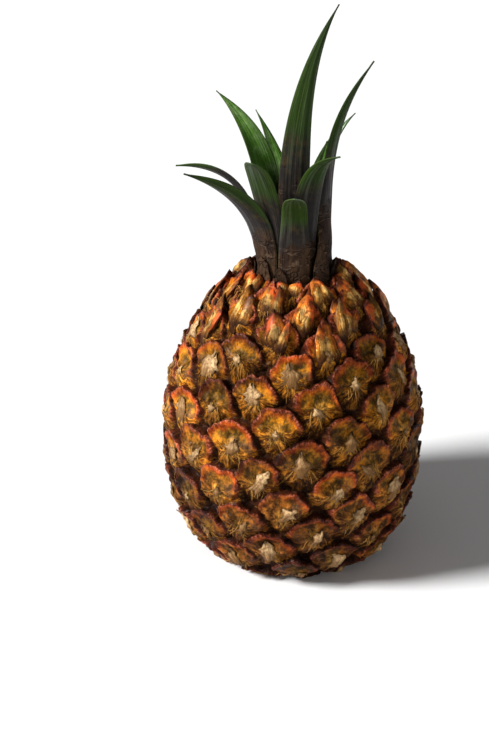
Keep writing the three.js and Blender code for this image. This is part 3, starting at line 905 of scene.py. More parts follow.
@dataclass
class EyeLattice:
    """The spiral of eyes, as sites on a sphere that the skin is mapped to without changing angles.

    Sites 0 and 1 are the middles of the underside and of the top; the eyes follow from the underside up.
    """

    outline: FruitOutline
    count: int = 148
    first_angle: float = -0.21
    first_radius: float = 14.0
    last_radius: float = 21.0
    baseward_shrink: float = 0.6
    crownward_shrink: float = 1.0
    neighbours_kept: int = 7
    neighbours_measured: int = 6
    polar_rows: int = 4
    jitter: float = 0.02

    def __post_init__(self) -> None:
        """Works out the sites, their frames and how far they reach."""
        self.profile = self.outline.points()
        radius = self.profile[:, 0]
        step = np.linalg.norm(np.diff(self.profile, axis=0), axis=1)
        middle = np.maximum((radius[1:] + radius[:-1]) / 2, 1e-3)
        stretch = np.concatenate([[0], np.cumsum(step / middle)])
        self.belly = int(np.argmax(radius))
        self.latitude = np.arctan(np.sinh(stretch - stretch[self.belly]))
        index = self._eye_indices(radius, step)
        number = np.arange(self.count)
        latitude = self._at(index, self.latitude)
        azimuth = self.first_angle + GOLDEN_ANGLE * number
        azimuth = azimuth + self.jitter * swing(number, 61) / np.cos(latitude) ** 0.5
        latitude = latitude + self.jitter * swing(number, 62) * np.cos(latitude)
        latitude = np.concatenate([[-math.pi / 2, math.pi / 2], latitude])
        azimuth = np.concatenate([[0, 0], azimuth])
        self.sites = self.direction(azimuth, latitude)
        self.east = np.stack([-np.sin(azimuth), np.cos(azimuth), np.zeros_like(azimuth)], axis=1)
        self.north = np.cross(self.sites, self.east)
        apart = np.linalg.norm(self.sites[:, None] - self.sites[None], axis=2)
        self.scale = self.local_scale(latitude)
        nearest = np.sort(apart, axis=1)[:, 1 : 1 + self.neighbours_measured]
        self.reach = nearest.mean(axis=1) * self.scale / 2
        self.eyes = np.arange(FIRST_EYE, self.count + FIRST_EYE)
        self.crownward = self.locate(self.sites[self.eyes], self.eyes).crownward

    def _eye_indices(self, radius: Array, step: Array) -> Array:
        """Where along the profile the eyes sit, so that they fill it evenly for their size."""
        first = int(np.argmax(radius >= self.first_radius))
        last = int(len(radius) - 1 - np.argmax(radius[::-1] >= self.last_radius))
        rows = np.arange(first + 1, last + 1)
        shrink = np.where(rows < self.belly, self.baseward_shrink, self.crownward_shrink)
        area = (radius[rows] / self.outline.belly_radius) ** shrink
        filled = np.concatenate([[0], np.cumsum(radius[rows] * step[rows - 1] / area)])
        wanted = filled[-1] * (np.arange(self.count) + 0.5) / self.count
        return first + np.interp(wanted, filled, np.arange(len(filled)))

    @staticmethod
    def _at(index: Array, values: Array) -> Array:
        """Values at indices with a fraction."""
        return np.interp(index, np.arange(len(values)), values)

    @staticmethod
    def direction(azimuth: Array, latitude: Array) -> Array:
        """Unit vectors from azimuths and latitudes."""
        ring = np.cos(latitude)
        return np.stack([ring * np.cos(azimuth), ring * np.sin(azimuth), np.sin(latitude)], axis=1)

    def local_scale(self, latitude: Array) -> Array:
        """Millimetres of skin for each unit of the sphere, at each latitude."""
        safe = np.clip(latitude, self.latitude[self.polar_rows], self.latitude[-1 - self.polar_rows])
        return np.interp(safe, self.latitude, self.profile[:, 0]) / np.cos(safe)

    def from_mesh_sphere(self, directions: Array) -> Array:
        """Maps an even sphere to the sites' sphere, so that even vertices give even steps of skin."""
        rise = np.arcsin(np.clip(directions[:, 2], -1, 1)) / math.pi + 0.5
        latitude = self._at(rise * (len(self.profile) - 1), self.latitude)
        return self.direction(np.arctan2(directions[:, 1], directions[:, 0]), latitude)

    def nearest(self, directions: Array) -> Array:
        """The few sites that each direction is nearest to, as a row for each."""
        close = directions @ self.sites.T
        return np.argpartition(-close, self.neighbours_kept, axis=1)[:, : self.neighbours_kept]

    def inside(self, site: Array, across: Array, upward: Array) -> Array:
        """Directions of places that are given inside eyes, in shares of each eye's reach."""
        stretch = (self.reach / self.scale)[site][:, None]
        offset = self.east[site] * across[:, None] + self.north[site] * upward[:, None]
        return unit(self.sites[site] + offset * stretch)

    def locate(self, directions: Array, site: Array) -> Spots:
        """Works out where directions lie.

        Args:
            directions: Unit vectors on the sites' sphere.
            site: The site whose eye each of them is taken to lie in.

        Returns:
            The places, with lengths in millimetres and places in an eye in shares of its reach.
        """
        latitude = np.arcsin(np.clip(directions[:, 2], -1, 1))
        azimuth = np.arctan2(directions[:, 1], directions[:, 0])
        turn_x, turn_y = np.cos(azimuth), np.sin(azimuth)
        index = np.interp(latitude, self.latitude, np.arange(len(self.latitude)))
        offset = (directions - self.sites[site]) * (self.scale / self.reach)[site][:, None]
        across = np.einsum("ij,ij->i", offset, self.east[site])
        upward = np.einsum("ij,ij->i", offset, self.north[site])
        heading = np.gradient(self.profile, axis=0)
        along_r, along_z = self._at(index, heading[:, 0]), self._at(index, heading[:, 1])
        size = np.hypot(along_r, along_z)
        along_r, along_z = along_r / size, along_z / size
        radius, height = self._at(index, self.profile[:, 0]), self._at(index, self.profile[:, 1])
        rise = (height - self.outline.belly_height) / (self.outline.neck_height - self.outline.belly_height)
        return Spots(
            eye=site,
            reach=self.reach[site],
            across=across,
            upward=upward,
            crownward=np.maximum(0, rise),
            place=np.stack([radius * turn_x, radius * turn_y, height], axis=1),
            out=np.stack([along_z * turn_x, along_z * turn_y, -along_r], axis=1),
            up=np.stack([along_r * turn_x, along_r * turn_y, along_z], axis=1),
        )


@dataclass
class Rind:
    """The fruit's skin. Each eye is a scale with a round raised rim above and a fibrous tongue below.

    The skin is the highest of the scales at each place, so a scale's rim lies over the tongues above it.
    """

    lattice: EyeLattice
    finish: RindFinish
    coarse_steps: int = 4
    cuts: int = 11
    arch: float = 1.0
    side_reach: float = 0.22
    peak: float = 0.2
    tongue: float = 0.34
    tongue_spread: float = 0.62
    drop: float = 2.7
    steep_width: float = 1.8
    gentle_width: float = 6.5
    rim_height: float = 1.3
    rim_overhang: float = 1.3
    dish_depth: float = 1.5
    fan_height: float = 1.5
    lobe_height: float = 1.0
    rim_tilt: float = 0.8
    scale_rise: float = 2.6
    ridge_height: float = 0.3
    grit_height: float = 0.12
    grit_length: float = 3.0
    lump_height: float = 0.3
    lump_length: float = 8.0
    crumple: float = 0.8
    crumple_length: float = 6.5
    border_wander: float = 0.011
    wander_length: float = 0.09
    socket_radius: float = 12.8
    socket_depth: float = 7.0
    seat_radius: float = 20.2
    seat_height: float = 148.5
    seat_lip: float = 2.0
    widest: float = 66.6
    underside: float = 1.0
    pole_rise: float = -1.5

    def wander(self, directions: Array) -> Array:
        """Moves directions a little, so that the eyes' borders aren't smooth."""
        shift = np.stack([waves(directions, self.wander_length, seed) for seed in (11, 12, 13)], axis=1)
        return unit(directions + shift * self.border_wander)

    @staticmethod
    def vigour(eye: Array) -> Array:
        """How strongly the rims of eyes have grown."""
        return 0.6 + 0.7 * chance(eye, 2)

    def border(self, spots: Spots) -> Array:
        """How far places lie inside the borders of their scales, in millimetres; less than 0 outside."""
        eye = spots.eye
        lean = 0.6 * swing(eye, 12)
        turn = np.abs((np.arctan2(spots.across, spots.upward) + lean + math.pi) % (2 * math.pi) - math.pi)
        peak = self.peak * smoothstep(0.35, 1.0, chance(eye, 13)) - 0.05
        reach = self.arch + 0.07 * swing(eye, 14) + peak * hump(turn, 0, 0.45)
        reach = reach + self.side_reach * hump(turn, 1.5, 0.5)
        reach = reach + self.tongue * hump(turn, math.pi, self.tongue_spread)
        for petals, depth, trait in ((4, 0.045, 15), (9, 0.014, 16)):
            reach = reach + depth * np.sin(petals * turn + TURN * chance(eye, trait))
        return (reach - np.hypot(spots.across, spots.upward)) * spots.reach

    def relief(self, spots: Spots, edge: Array) -> Array:
        """How far scales stand out of the fruit's outline.

        Args:
            spots: Places, each seen from the eye whose scale is asked for.
            edge: How far inside that scale's border each place lies, in millimetres.

        Returns:
            The rise outwards, in millimetres.
        """
        x, y, eye = spots.across, spots.upward, spots.eye
        turn = np.arctan2(x, y)
        upness = smoothstep(-0.45, 0.35, y)
        vigour = self.vigour(eye)
        width = self.gentle_width + (self.steep_width - self.gentle_width) * upness
        flat = smoothstep(0, 1, edge / width)
        rise = self.drop * (flat - 1) + np.minimum(edge, 0)
        rise += self.rim_height * vigour * hump(edge, 2.0, 1.5) * smoothstep(-0.3, 0.35, y)
        rise += (self.rim_tilt * vigour + self.scale_rise * spots.crownward**3) * np.clip(y, -1.5, 1.2) * flat
        rise -= self.dish_depth * (0.5 + chance(eye, 5)) * hump(x, 0, 0.55) * hump(y, 0.42, 0.3)
        rise += self.fan_height * (0.6 + 0.8 * chance(eye, 6)) * hump(x, 0, 0.5) * hump(y, -0.42, 0.5)
        for hand in (-1, 1):
            grown = smoothstep(0.4, 0.7, chance(eye, 7 + hand))
            rise += self.lobe_height * hump(x, 0.55 * hand, 0.24) * hump(y, 0.1, 0.24) * grown
        phase = TURN * chance(eye, 9)
        ridge = np.sin(11 * turn + phase + 1.4 * np.sin(3 * turn + 2 * phase))
        ridge *= 0.6 + 0.4 * np.sin(5 * turn + 3 * phase)
        band = smoothstep(0.15, 0.45, np.hypot(x, y)) * (0.2 + 1.0 * smoothstep(0.2, -0.3, y))
        rise += self.ridge_height * ridge * band * flat
        return np.where(eye < FIRST_EYE, self.pole_rise, rise)

    def settle(self, directions: Array) -> Array:
        """Says whose scale is the highest at each direction."""
        best = np.full(len(directions), -np.inf)
        owner = np.zeros(len(directions), int)
        for site in self.lattice.nearest(directions).T:
            spots = self.lattice.locate(directions, site)
            rise = self.relief(spots, self.border(spots))
            higher = rise > best
            best = np.where(higher, rise, best)
            owner = np.where(higher, site, owner)
        return owner

    def skin(self, spots: Spots) -> Array:
        """The places on the finished skin, in millimetres."""
        edge = self.border(spots)
        rise = self.relief(spots, edge)
        grit, lumps = waves(spots.place, self.grit_length, 21), waves(spots.place, self.lump_length, 22)
        rise += self.grit_height * grit + self.lump_height * lumps
        rise += self.crumple * np.minimum(np.abs(waves(spots.place, self.crumple_length, 23)), 0.8)
        drawn = self.rim_overhang * hump(edge, 2.0, 1.3) * smoothstep(-0.1, 0.5, spots.upward)
        drawn *= self.vigour(spots.eye) * (spots.eye >= FIRST_EYE)
        points = spots.place + spots.out * rise[:, None] + spots.up * drawn[:, None]
        hold_in(points, self.widest, 0)
        return points

    def build(self) -> Object:
        """Makes the piece."""
        bm = bmesh.new()
        bmesh.ops.create_icosphere(bm, subdivisions=self.coarse_steps, radius=1)
        bmesh.ops.subdivide_edges(bm, edges=bm.edges[:], cuts=self.cuts, use_grid_fill=True)
        piece = make_object(bm, "rind_skin")
        mesh = piece.data
        directions = self.lattice.from_mesh_sphere(unit(read_points(mesh)))
        moved = self.wander(directions)
        owner = self.settle(moved)
        spots = self.lattice.locate(moved, owner)
        still = self.lattice.locate(directions, owner)
        spots.place, spots.out, spots.up = still.place, still.out, still.up
        points = self.skin(spots)
        radius = np.hypot(still.place[:, 0], still.place[:, 1])
        low = still.place[:, 2] < self.underside
        points[low & (radius < self.socket_radius), 2] = self.socket_depth
        seat = (still.place[:, 2] > self.seat_height - self.seat_lip) & (radius < self.seat_radius)
        points[seat, 2] = self.seat_height
        write_points(mesh, points)

        corners = corner_vertices(mesh)
        centre = unit(moved[corners].reshape(-1, 3, 3).mean(axis=1))
        face_owner = np.repeat(self.settle(centre), 3)
        local = self.lattice.locate(moved[corners], face_owner)
        edge = self.border(local)
        write_maps(
            mesh,
            eye=(local.across, local.upward),
            rim=(edge / CENTIMETRE, self.relief(local, edge) / CENTIMETRE),
            chance=(chance(face_owner, 3), chance(face_owner, 4)),
        )
        return enlist(piece, Slot.RIND, self.finish.build(), "fruit")


@dataclass
class Laminae:
    """What the bract tips and the neck scales share: thin slabs that are laid on eyes."""

    rind: Rind
    finish: Finish
    name: str = "laminae"
    columns: int = 5
    rows: int = 9
    thickness: float = 0.2
    clearance: float = 0.25
    heel: float = 0.3
    tear: float = 0.45
    crinkle_height: float = 0.8
    overhang: float = 0.6
    lowest_point: float = 0.4

    def sites(self) -> Array:
        """The eyes that carry one."""
        raise NotImplementedError

    def shape(self, site: Array, slabs: Slabs) -> Array:
        """Lays the slabs out.

        Args:
            site: The eye of each vertex.
            slabs: Where in its slab each vertex belongs.

        Returns:
            The place of each vertex, in millimetres.
        """
        raise NotImplementedError

    def cells(self, slabs: Slabs) -> tuple[Array, Array]:
        """A number for each vertex's column and for its row, for chance to work on."""
        return np.round(slabs.across * self.columns / 2 + 9), np.round(slabs.along * self.rows)

    def crinkles(self, number: Array, slabs: Slabs, trait: int) -> Array:
        """Small rises and dips of the grid's vertices, in millimetres, other for each number."""
        column, row = self.cells(slabs)
        return self.crinkle_height * (chance(number * 5 + column + row * 9, trait) - 0.5)

    def build(self) -> Object:
        """Makes all the laminae as one piece, with the maps blade and chance."""
        eyes = self.sites()
        slabs = make_slabs(self.name, len(eyes), self.columns, self.rows)
        points = self.shape(eyes[slabs.number], slabs)
        hold_in(points, self.rind.widest + self.overhang, self.lowest_point)
        seed = slabs.number + 3
        maps = {"blade": (slabs.across, slabs.along), "chance": (chance(seed, 31), chance(seed, 32))}
        return enlist(slabs.lay_out(points, **maps), Slot.RIND, self.finish.build())


@dataclass
class BractTips(Laminae):
    """The torn papery tip in the middle of each eye."""

    name: str = "bract_tips"
    highest: float = 0.8
    half_width: float = 2.5
    length: float = 8.5
    fray: float = 2.2
    lift: float = 1.1

    def sites(self) -> Array:
        """Every eye below the neck scales."""
        return self.rind.lattice.eyes[self.rind.lattice.crownward < self.highest]

    def shape(self, site: Array, slabs: Slabs) -> Array:
        """Lays the tips up their eyes, waisted and tented, torn at the edges and lifted at the ends."""
        lattice = self.rind.lattice
        across, along = slabs.across, slabs.along
        size = 0.5 + 1.1 * chance(site, 33) ** 1.1
        column, row = self.cells(slabs)
        hand = np.sign(across)
        torn = 1 - self.tear * chance(site * 7 + column, 34) * (along > 0.9)
        frayed = -self.fray * chance(site * 17 + column, 42) * (along < 0.1)
        ragged = 1 + 0.8 * (chance(site * 11 + row * 3 + hand, 40) - 0.5)
        lean = 1.3 * swing(site, 35) * chance(site, 41) ** 1.5
        waist = 0.7 + (0.2 + 0.6 * chance(site, 49)) * hump(along, 0.42, 0.22)
        taper = waist * (1 - np.clip(along - 0.4, 0, 1) / 0.62) ** 0.95 + 0.03
        wide = self.half_width * size * (0.7 + 0.7 * chance(site, 36)) * np.maximum(taper, 0.06) * ragged
        side = across * wide + 1.1 * along**2 * swing(site, 37)
        ahead = along * self.length * size * torn + frayed * size
        reach = lattice.reach[site]
        x = (side * np.cos(lean) + ahead * np.sin(lean)) / reach
        y = (ahead * np.cos(lean) - side * np.sin(lean)) / reach - self.heel
        directions = lattice.inside(site, x, y)
        spots = lattice.locate(directions, site)
        arched = np.sin(math.pi * np.clip(along, 0, 1) ** 0.8)
        tent = (0.4 + 1.1 * chance(site, 50)) * (1 - np.abs(across)) * arched
        lift = self.lift * (0.2 + 1.4 * chance(site, 38)) * along**2
        folds = self.crinkles(site, slabs, 39)
        half = slabs.side * self.thickness / 2
        return self.rind.skin(spots) + spots.out * (self.clearance + tent + lift + folds + half)[:, None]


@dataclass
class NeckScales(Laminae):
    """The long scales, some folded along their length, that the eyes under the crown draw out into."""

    name: str = "neck_scales"
    thickness: float = 0.7
    clearance: float = 0.3
    tear: float = 0.16
    crinkle_height: float = 0.5
    lowest: float = 0.66
    half_width: float = 5.7
    length: float = 22.0
    nearest: float = 19.9
    overlap: float = 3.0
    outward_share: float = 0.55
    upward_share: float = 0.85
    layers: int = 2

    def sites(self) -> Array:
        """The eyes near the crown, once for each layer."""
        return np.tile(self.rind.lattice.eyes[self.rind.lattice.crownward > self.lowest], self.layers)

    def shape(self, site: Array, slabs: Slabs) -> Array:
        """Draws each scale up the shoulder, keels it, rolls it and turns its tip up at the crown's foot."""
        lattice = self.rind.lattice
        across, along, seed = slabs.across, slabs.along, slabs.number + 3
        upper = slabs.number >= (slabs.number.max() + 1) / self.layers
        size = 0.75 + 0.45 * chance(seed, 71)
        folded = np.where(upper, 0.62, 0.85 + 0.3 * chance(seed, 73))
        home = lattice.locate(lattice.sites[site], site)
        column, _ = self.cells(slabs)
        torn = 1 - self.tear * chance(seed * 7 + column, 72) * smoothstep(0.75, 1.0, along)
        blunt = 1.4 + 2.6 * chance(seed, 80)
        taper = np.clip(along / 0.15, 0.5, 1) * (1 - np.clip((along - 0.3) / 0.72, 0, 1) ** blunt) ** 0.85
        wide = self.half_width * folded * np.maximum(taper, 0.08)
        wander = 0.12 * np.sin(7 * along + TURN * chance(seed, 76))
        wander += 0.06 * np.sin(19 * along * np.sign(across) + seed)
        side = across * wide + wide * wander
        ahead = (along - self.heel) * self.length * size * torn + np.where(upper, 3.5 * swing(seed, 81), 0)
        sway = swing(seed, 74) * (2.0 * along**2 + 0.22 * ahead)
        sway += np.where(upper, 6.0 * swing(seed, 82), 0)
        right = np.cross(home.up, home.out)
        start = home.place + right * (side + sway)[:, None]
        azimuth = np.arctan2(start[:, 1], start[:, 0])
        length = lengths_along(lattice.profile)
        upwards = slice(lattice.belly, None)
        home_radius = np.hypot(home.place[:, 0], home.place[:, 1])
        base = np.interp(-home_radius, -lattice.profile[upwards, 0], length[upwards])
        foot = np.interp(-self.nearest, -lattice.profile[upwards, 0], length[upwards])
        room = foot - base + self.overlap * chance(seed, 85)
        ahead = np.where(ahead > 0, ahead * np.clip(room / (0.7 * self.length * size), 0.3, 1), ahead)
        spot = base + ahead
        radius = np.interp(spot, length, lattice.profile[:, 0])
        height = np.interp(spot, length, lattice.profile[:, 1])
        pushed = np.maximum(self.nearest - radius, 0)
        radius = radius + pushed
        height = height + 0.8 * pushed
        fold = (1.2 + 2.6 * chance(seed, 77)) * (1 - np.abs(across - 0.6 * chance(seed, 83) + 0.3))
        keel = fold * (0.35 + 0.65 * np.sin(math.pi * along))
        roll = 1.5 * swing(seed, 84) * across * smoothstep(0.1, 0.5, along)
        rise = self.clearance + 1.7 * along + 1.8 * chance(seed, 75) * along**2 + keel + roll
        rise += self.crinkles(seed, slabs, 78)
        rise += np.where(upper, 0.6, 0) - 2.0 * smoothstep(0.2, 0.0, along)
        rise += slabs.side * self.thickness / 2
        radius = radius + rise * self.outward_share
        height = height + rise * self.upward_share
        return np.stack([radius * np.cos(azimuth), radius * np.sin(azimuth), height], axis=1)


@dataclass
class BractFibres:
    """Fine curled threads that fan down and out from under each bract tip."""

    rind: Rind
    finish: FibreFinish
    each: int = 8
    points_each: int = 6
    thickness: float = 0.14
    clearance: float = 0.08
    arch: float = 0.5
    stray: float = 1.2
    overhang: float = 0.5

    def build(self) -> Object:
        """Makes all the threads as one piece."""
        lattice = self.rind.lattice
        site = np.repeat(lattice.eyes, self.each)
        number = np.arange(len(site))
        start = 0.42 * swing(number, 45)
        aim = math.pi - 1.3 * start + 1.0 * swing(number, 41) * chance(number, 42)
        length = 0.25 + 0.75 * chance(number, 43) ** 1.5
        curve = bpy.data.curves.new("bract_fibres", "CURVE")
        curve.dimensions = "3D"
        curve.bevel_depth = self.thickness * MM
        curve.bevel_resolution = 0
        curve.use_fill_caps = True
        rows = []
        for step in np.linspace(0, 1, self.points_each):
            bend = aim + 0.7 * (chance(number, 44) - 0.5) * step
            run = length * step
            x = start + run * np.sin(bend)
            y = -0.05 - 0.35 * chance(number, 48) + run * np.cos(bend)
            directions = lattice.inside(site, x, y)
            spots = lattice.locate(directions, self.rind.settle(directions))
            lift = self.clearance + self.arch * chance(number, 46) * np.sin(math.pi * step)
            lift += self.stray * chance(number, 47) ** 5 * step
            rows.append(self.rind.skin(spots) + spots.out * lift[:, None])
        for strand in np.stack(rows, axis=1):
            spline = curve.splines.new("POLY")
            spline.points.add(self.points_each - 1)
            for place, share, point in zip(spline.points, np.linspace(0, 1, self.points_each), strand * MM):
                place.co = (*point, 1)
                place.radius = 1.1 - 0.7 * share
        draft = bpy.data.objects.new("draft", curve)
        mesh = bpy.data.meshes.new_from_object(draft)
        bpy.data.objects.remove(draft)
        points = read_points(mesh) / MM
        hold_in(points, self.rind.widest + self.overhang, 0)
        write_points(mesh, points)
        mesh.shade_smooth()
        piece = bpy.data.objects.new("bract_fibres", mesh)
        bpy.context.scene.collection.objects.link(piece)
        return enlist(piece, Slot.RIND, self.finish.build())


@dataclass
class CutStalk:
    """The stump that the fruit was cut from, flush with its underside."""

    finish: StemFinish
    radius: float = 12.5
    height: float = 6.7
    chamfer: float = 1.2
    flatness: float = 0.1
    hollow_reach: float = 0.85
    hollow_depth: float = 0.35
    ripple: float = 0.12
    insets: tuple[float, ...] = (0.25, 0.4, 0.5)
    sides: int = 64

    def build(self) -> Object:
        """Makes the piece: a disc with a chamfer and a slightly hollow, rippled cut."""
        bm = bmesh.new()
        top = bmesh.ops.create_circle(bm, cap_ends=True, segments=self.sides, radius=self.radius * MM)
        bmesh.ops.translate(bm, verts=top["verts"], vec=(0, 0, self.height * MM))
        raised = bmesh.ops.extrude_face_region(bm, geom=bm.faces[:])
        bmesh.ops.translate(bm, verts=grown_vertices(raised), vec=(0, 0, -self.height * MM))
        cut = next(face for face in bm.faces if all(v.co.z < self.flatness * MM for v in face.verts))
        rim, offset = cut.edges[:], self.chamfer * MM
        bmesh.ops.bevel(bm, geom=rim, offset=offset, segments=3, profile=0.5, affect="EDGES", material=-1)
        for share in self.insets:
            ends = [face for face in bm.faces if len(face.verts) == self.sides]
            flat = [face for face in ends if face.normal.z < -0.5]
            flat = flat or [face for face in ends if face.calc_center_median().z < MM]
            bmesh.ops.inset_region(bm, faces=flat, thickness=self.radius * share * MM * 0.5)
        bmesh.ops.recalc_face_normals(bm, faces=bm.faces[:])
        for vertex in bm.verts:
            reach = vertex.co.xy.length / (self.radius * MM)
            turn = math.atan2(vertex.co.y, vertex.co.x)
            if vertex.co.z < self.flatness * MM and reach < self.hollow_reach:
                hollow = self.hollow_depth * (1 - reach)
                vertex.co.z += MM * (hollow + self.ripple * math.sin(9 * turn) * reach)
        return enlist(make_object(bm, "stalk_stump"), Slot.STEM, self.finish.build(), "cut_stalk")


# ---- The crown ----

Pair = tuple[float, float]
Point = tuple[float, float, float]


@dataclass(frozen=True)
class LeafShape:
    """One leaf of the crown.

    whorl is its ring, from 0 at the heart outwards. width is half its width out on the blade, flutes how deep
    its grooves are, and bend holds two control points and the tip of its midrib, as (outwards, sideways, up)
    from its foot, all in millimetres. span, flat and twist are in degrees: half its arc at the foot, half its
    arc out on the blade, and its turn over its length. fullness is how long it stays wide. green_from and
    green_skew say where up the blade, and how much sooner towards its right edge, the bloom gives way to
    green; scruff is how far up the dry skin reaches.
    """

    name: str
    whorl: int
    azimuth: float
    span: float
    width: float
    flat: float
    twist: float
    fullness: float
    bend: tuple[Point, Point, Point]
    green_from: float = 0.6
    green_skew: float = 0.0
    flutes: float = 0.12
    scruff: float = 0.34


LEAVES = (
    LeafShape("front", 3, -2, 25, 6.4, 5, 0, 6, ((-1, 0, 42), (4, 0, 50), (36, 0, 63.5)), 0.45),
    LeafShape("front_left", 3, -56, 26, 8.6, 34, 40, 3.6,
              ((-2, 0, 34), (14, 0, 54), (42, -6, 66)), 0.7, 0.5, 0.12, 0.42),
    LeafShape("left", 3, -100, 13, 8, 30, 50, 3, ((-2, 0, 40), (14, 0, 59), (41, 0, 55)), 0.8),
    LeafShape("back_left", 3, -131, 15, 5.6, 36, 0, 2.2, ((0, 0, 24), (1, 0, 44), (8, 0, 58)), 0.5),
    LeafShape("back", 3, 187, 23, 6.6, 24, 0, 3, ((0, 0, 40), (4, -2, 58), (34, -5, 52)), 0.6),
    LeafShape("right", 3, 98, 49, 8, 50, -50, 2.8,
              ((-1, 0, 44), (-5, 0, 76), (19, 0, 110)), 0.62, 0, 0.12, 0.5),
    LeafShape("mid_front_left", 2, -38, 27, 8, 12, 0, 7,
              ((1.5, -1.5, 44), (13.9, -3.5, 67), (33.6, 11, 77)), 0.52),
    LeafShape("mid_front_right", 2, 16, 25, 7, 30, 0, 3.8, ((0, 0, 46), (4, 1, 68), (20, 11, 75)), 0.6),
    LeafShape("mid_left", 2, -124, 24, 8.4, 36, -50, 2.4, ((-2, 0, 50), (7, 0, 74), (32, 0, 88)), 0.5),
    LeafShape("mid_back", 2, -168, 18, 6.4, 38, 0, 2.2, ((0, 0, 34), (4, 3, 58), (21, 12, 76)), 0.5),
    LeafShape("mid_right", 2, 152, 17, 5.6, 40, 0, 2.4, ((0, 0, 36), (5, -3, 62), (16, -17, 79)), 0.5),
    LeafShape("tall", 1, -3, 42, 8.8, 48, 0, 2.2,
              ((0, -0.5, 50), (-3, -3.5, 100), (-3, 19.5, 142)), 0.56, 0, 0.4, 0.46),
    LeafShape("inner_left", 1, -84, 34, 5.4, 44, 0, 2.2, ((0, 0, 20), (0, 0, 36), (5, 0, 50)), 0.5),
    LeafShape("inner_back", 1, -160, 33, 5.4, 44, 0, 2.2, ((0, 0, 30), (-2, -2, 52), (2, -5, 74)), 0.5),
    LeafShape("inner_right", 1, 74, 30, 5, 44, 0, 2.2, ((0, 0, 30), (-3, -1, 54), (4, 3, 72)), 0.5),
    LeafShape("heart_left", 0, -130, 60, 4, 50, 0, 2, ((0, 0, 24), (-3, 0, 44), (0, 0, 62)), 0.5),
    LeafShape("heart_right", 0, 50, 60, 4, 50, 0, 2, ((0, 0, 22), (-3, 0, 40), (-1, 0, 56)), 0.5),
)


@dataclass
class Leaf:
    """A leaf blade: a fluted channel, round the stem at its foot, that opens out above."""

    shape: LeafShape
    material: Material
    ring_radii: tuple[float, ...] = (7.4, 10.9, 14.5, 18.2)
    foot_thickness: float = 2.3
    tip_thickness: float = 0.9
    edge_thickness: float = 0.4
    wobble: float = 0.25
    wobble_length: float = 12.0
    crowding: float = 1.25
    stations: int = 72
    columns: int = 20

    def midrib(self) -> Array:
        """The four control points of the midrib."""
        turn = math.radians(self.shape.azimuth)
        corners = []
        for out, side, up in ((0.0, 0.0, 0.0), *self.shape.bend):
            reach = self.ring_radii[self.shape.whorl] + out
            x = reach * math.sin(turn) + side * math.cos(turn)
            y = side * math.sin(turn) - reach * math.cos(turn)
            corners.append((x, y, FOOT_HEIGHT + up))
        return np.array(corners)

    def loft(self, along: Array, across: Array, side: Array) -> Array:
        """Places of the blade.

        Args:
            along: From 0 at the foot to 1 at the tip.
            across: From -1 to 1 over its width.
            side: -1 on the outer face and 1 on the inner one.

        Returns:
            The places, in millimetres.
        """
        shape = self.shape
        corners = self.midrib()
        middle = bezier(corners, along)
        heading = bezier_heading(corners, along)
        azimuth = math.radians(shape.azimuth)
        level = np.array([math.cos(azimuth), math.sin(azimuth), 0.0])
        over = unit(level - heading * (heading @ level)[:, None])
        twist = math.radians(shape.twist) * along
        over = over * np.cos(twist)[:, None] + np.cross(heading, over) * np.sin(twist)[:, None]
        inwards = np.cross(heading, over)
        opened = smoothstep(0.1, 0.5, along)
        bow = math.radians(shape.span) * (1 - opened) + math.radians(shape.flat) * opened
        foot_width = self.ring_radii[shape.whorl] * math.sin(math.radians(shape.span))
        taper = np.maximum((1 - along**shape.fullness) ** 1.25, 0.02)
        half = (foot_width * (1 - opened) + shape.width * opened) * taper
        thick = self.foot_thickness + (self.tip_thickness - self.foot_thickness) * np.sqrt(along)
        thick = thick * (1 - across**4) + np.minimum(thick, self.edge_thickness) * across**4
        angle = bow * across
        fluted = smoothstep(0.1, 0.35, along) * smoothstep(0.9, 0.55, along)
        flute = shape.flutes * np.cos(5.2 * across + 1.0) * fluted
        flat_place = middle + over * (half * across)[:, None]
        flute += self.wobble * waves(flat_place, self.wobble_length, 51) * (1 - opened)
        deep = side * thick / 2 + flute
        width = half * np.sin(angle) / np.sin(bow) - deep * np.sin(angle)
        depth = half * (1 - np.cos(angle)) / np.sin(bow) + deep * np.cos(angle)
        return middle + over * width[:, None] + inwards * depth[:, None]

    def build(self) -> Object:
        """Makes the piece: one slab, lofted, with its stations closer together towards the tip."""
        shape = self.shape
        slabs = make_slabs("blade_" + shape.name, 1, self.columns, self.stations)
        across = slabs.across
        along = 1 - (1 - slabs.along) ** self.crowding
        length = lengths_along(bezier(self.midrib(), np.linspace(0, 1, 50)))[-1]
        climb = along + shape.green_skew * across * 0.5
        green = smoothstep(shape.green_from - 0.22, shape.green_from + 0.12, climb)
        dry = smoothstep(shape.scruff, shape.scruff * 0.2, along)
        slabs.lay_out(
            self.loft(along, across, slabs.side),
            blade=(across * shape.width / CENTIMETRE, along * length / CENTIMETRE),
            tone=(green, dry),
            side=((slabs.side + 1) / 2, np.abs(across)),
        )
        return enlist(slabs.piece, Slot.LEAF, self.material, "leaf_" + shape.name)


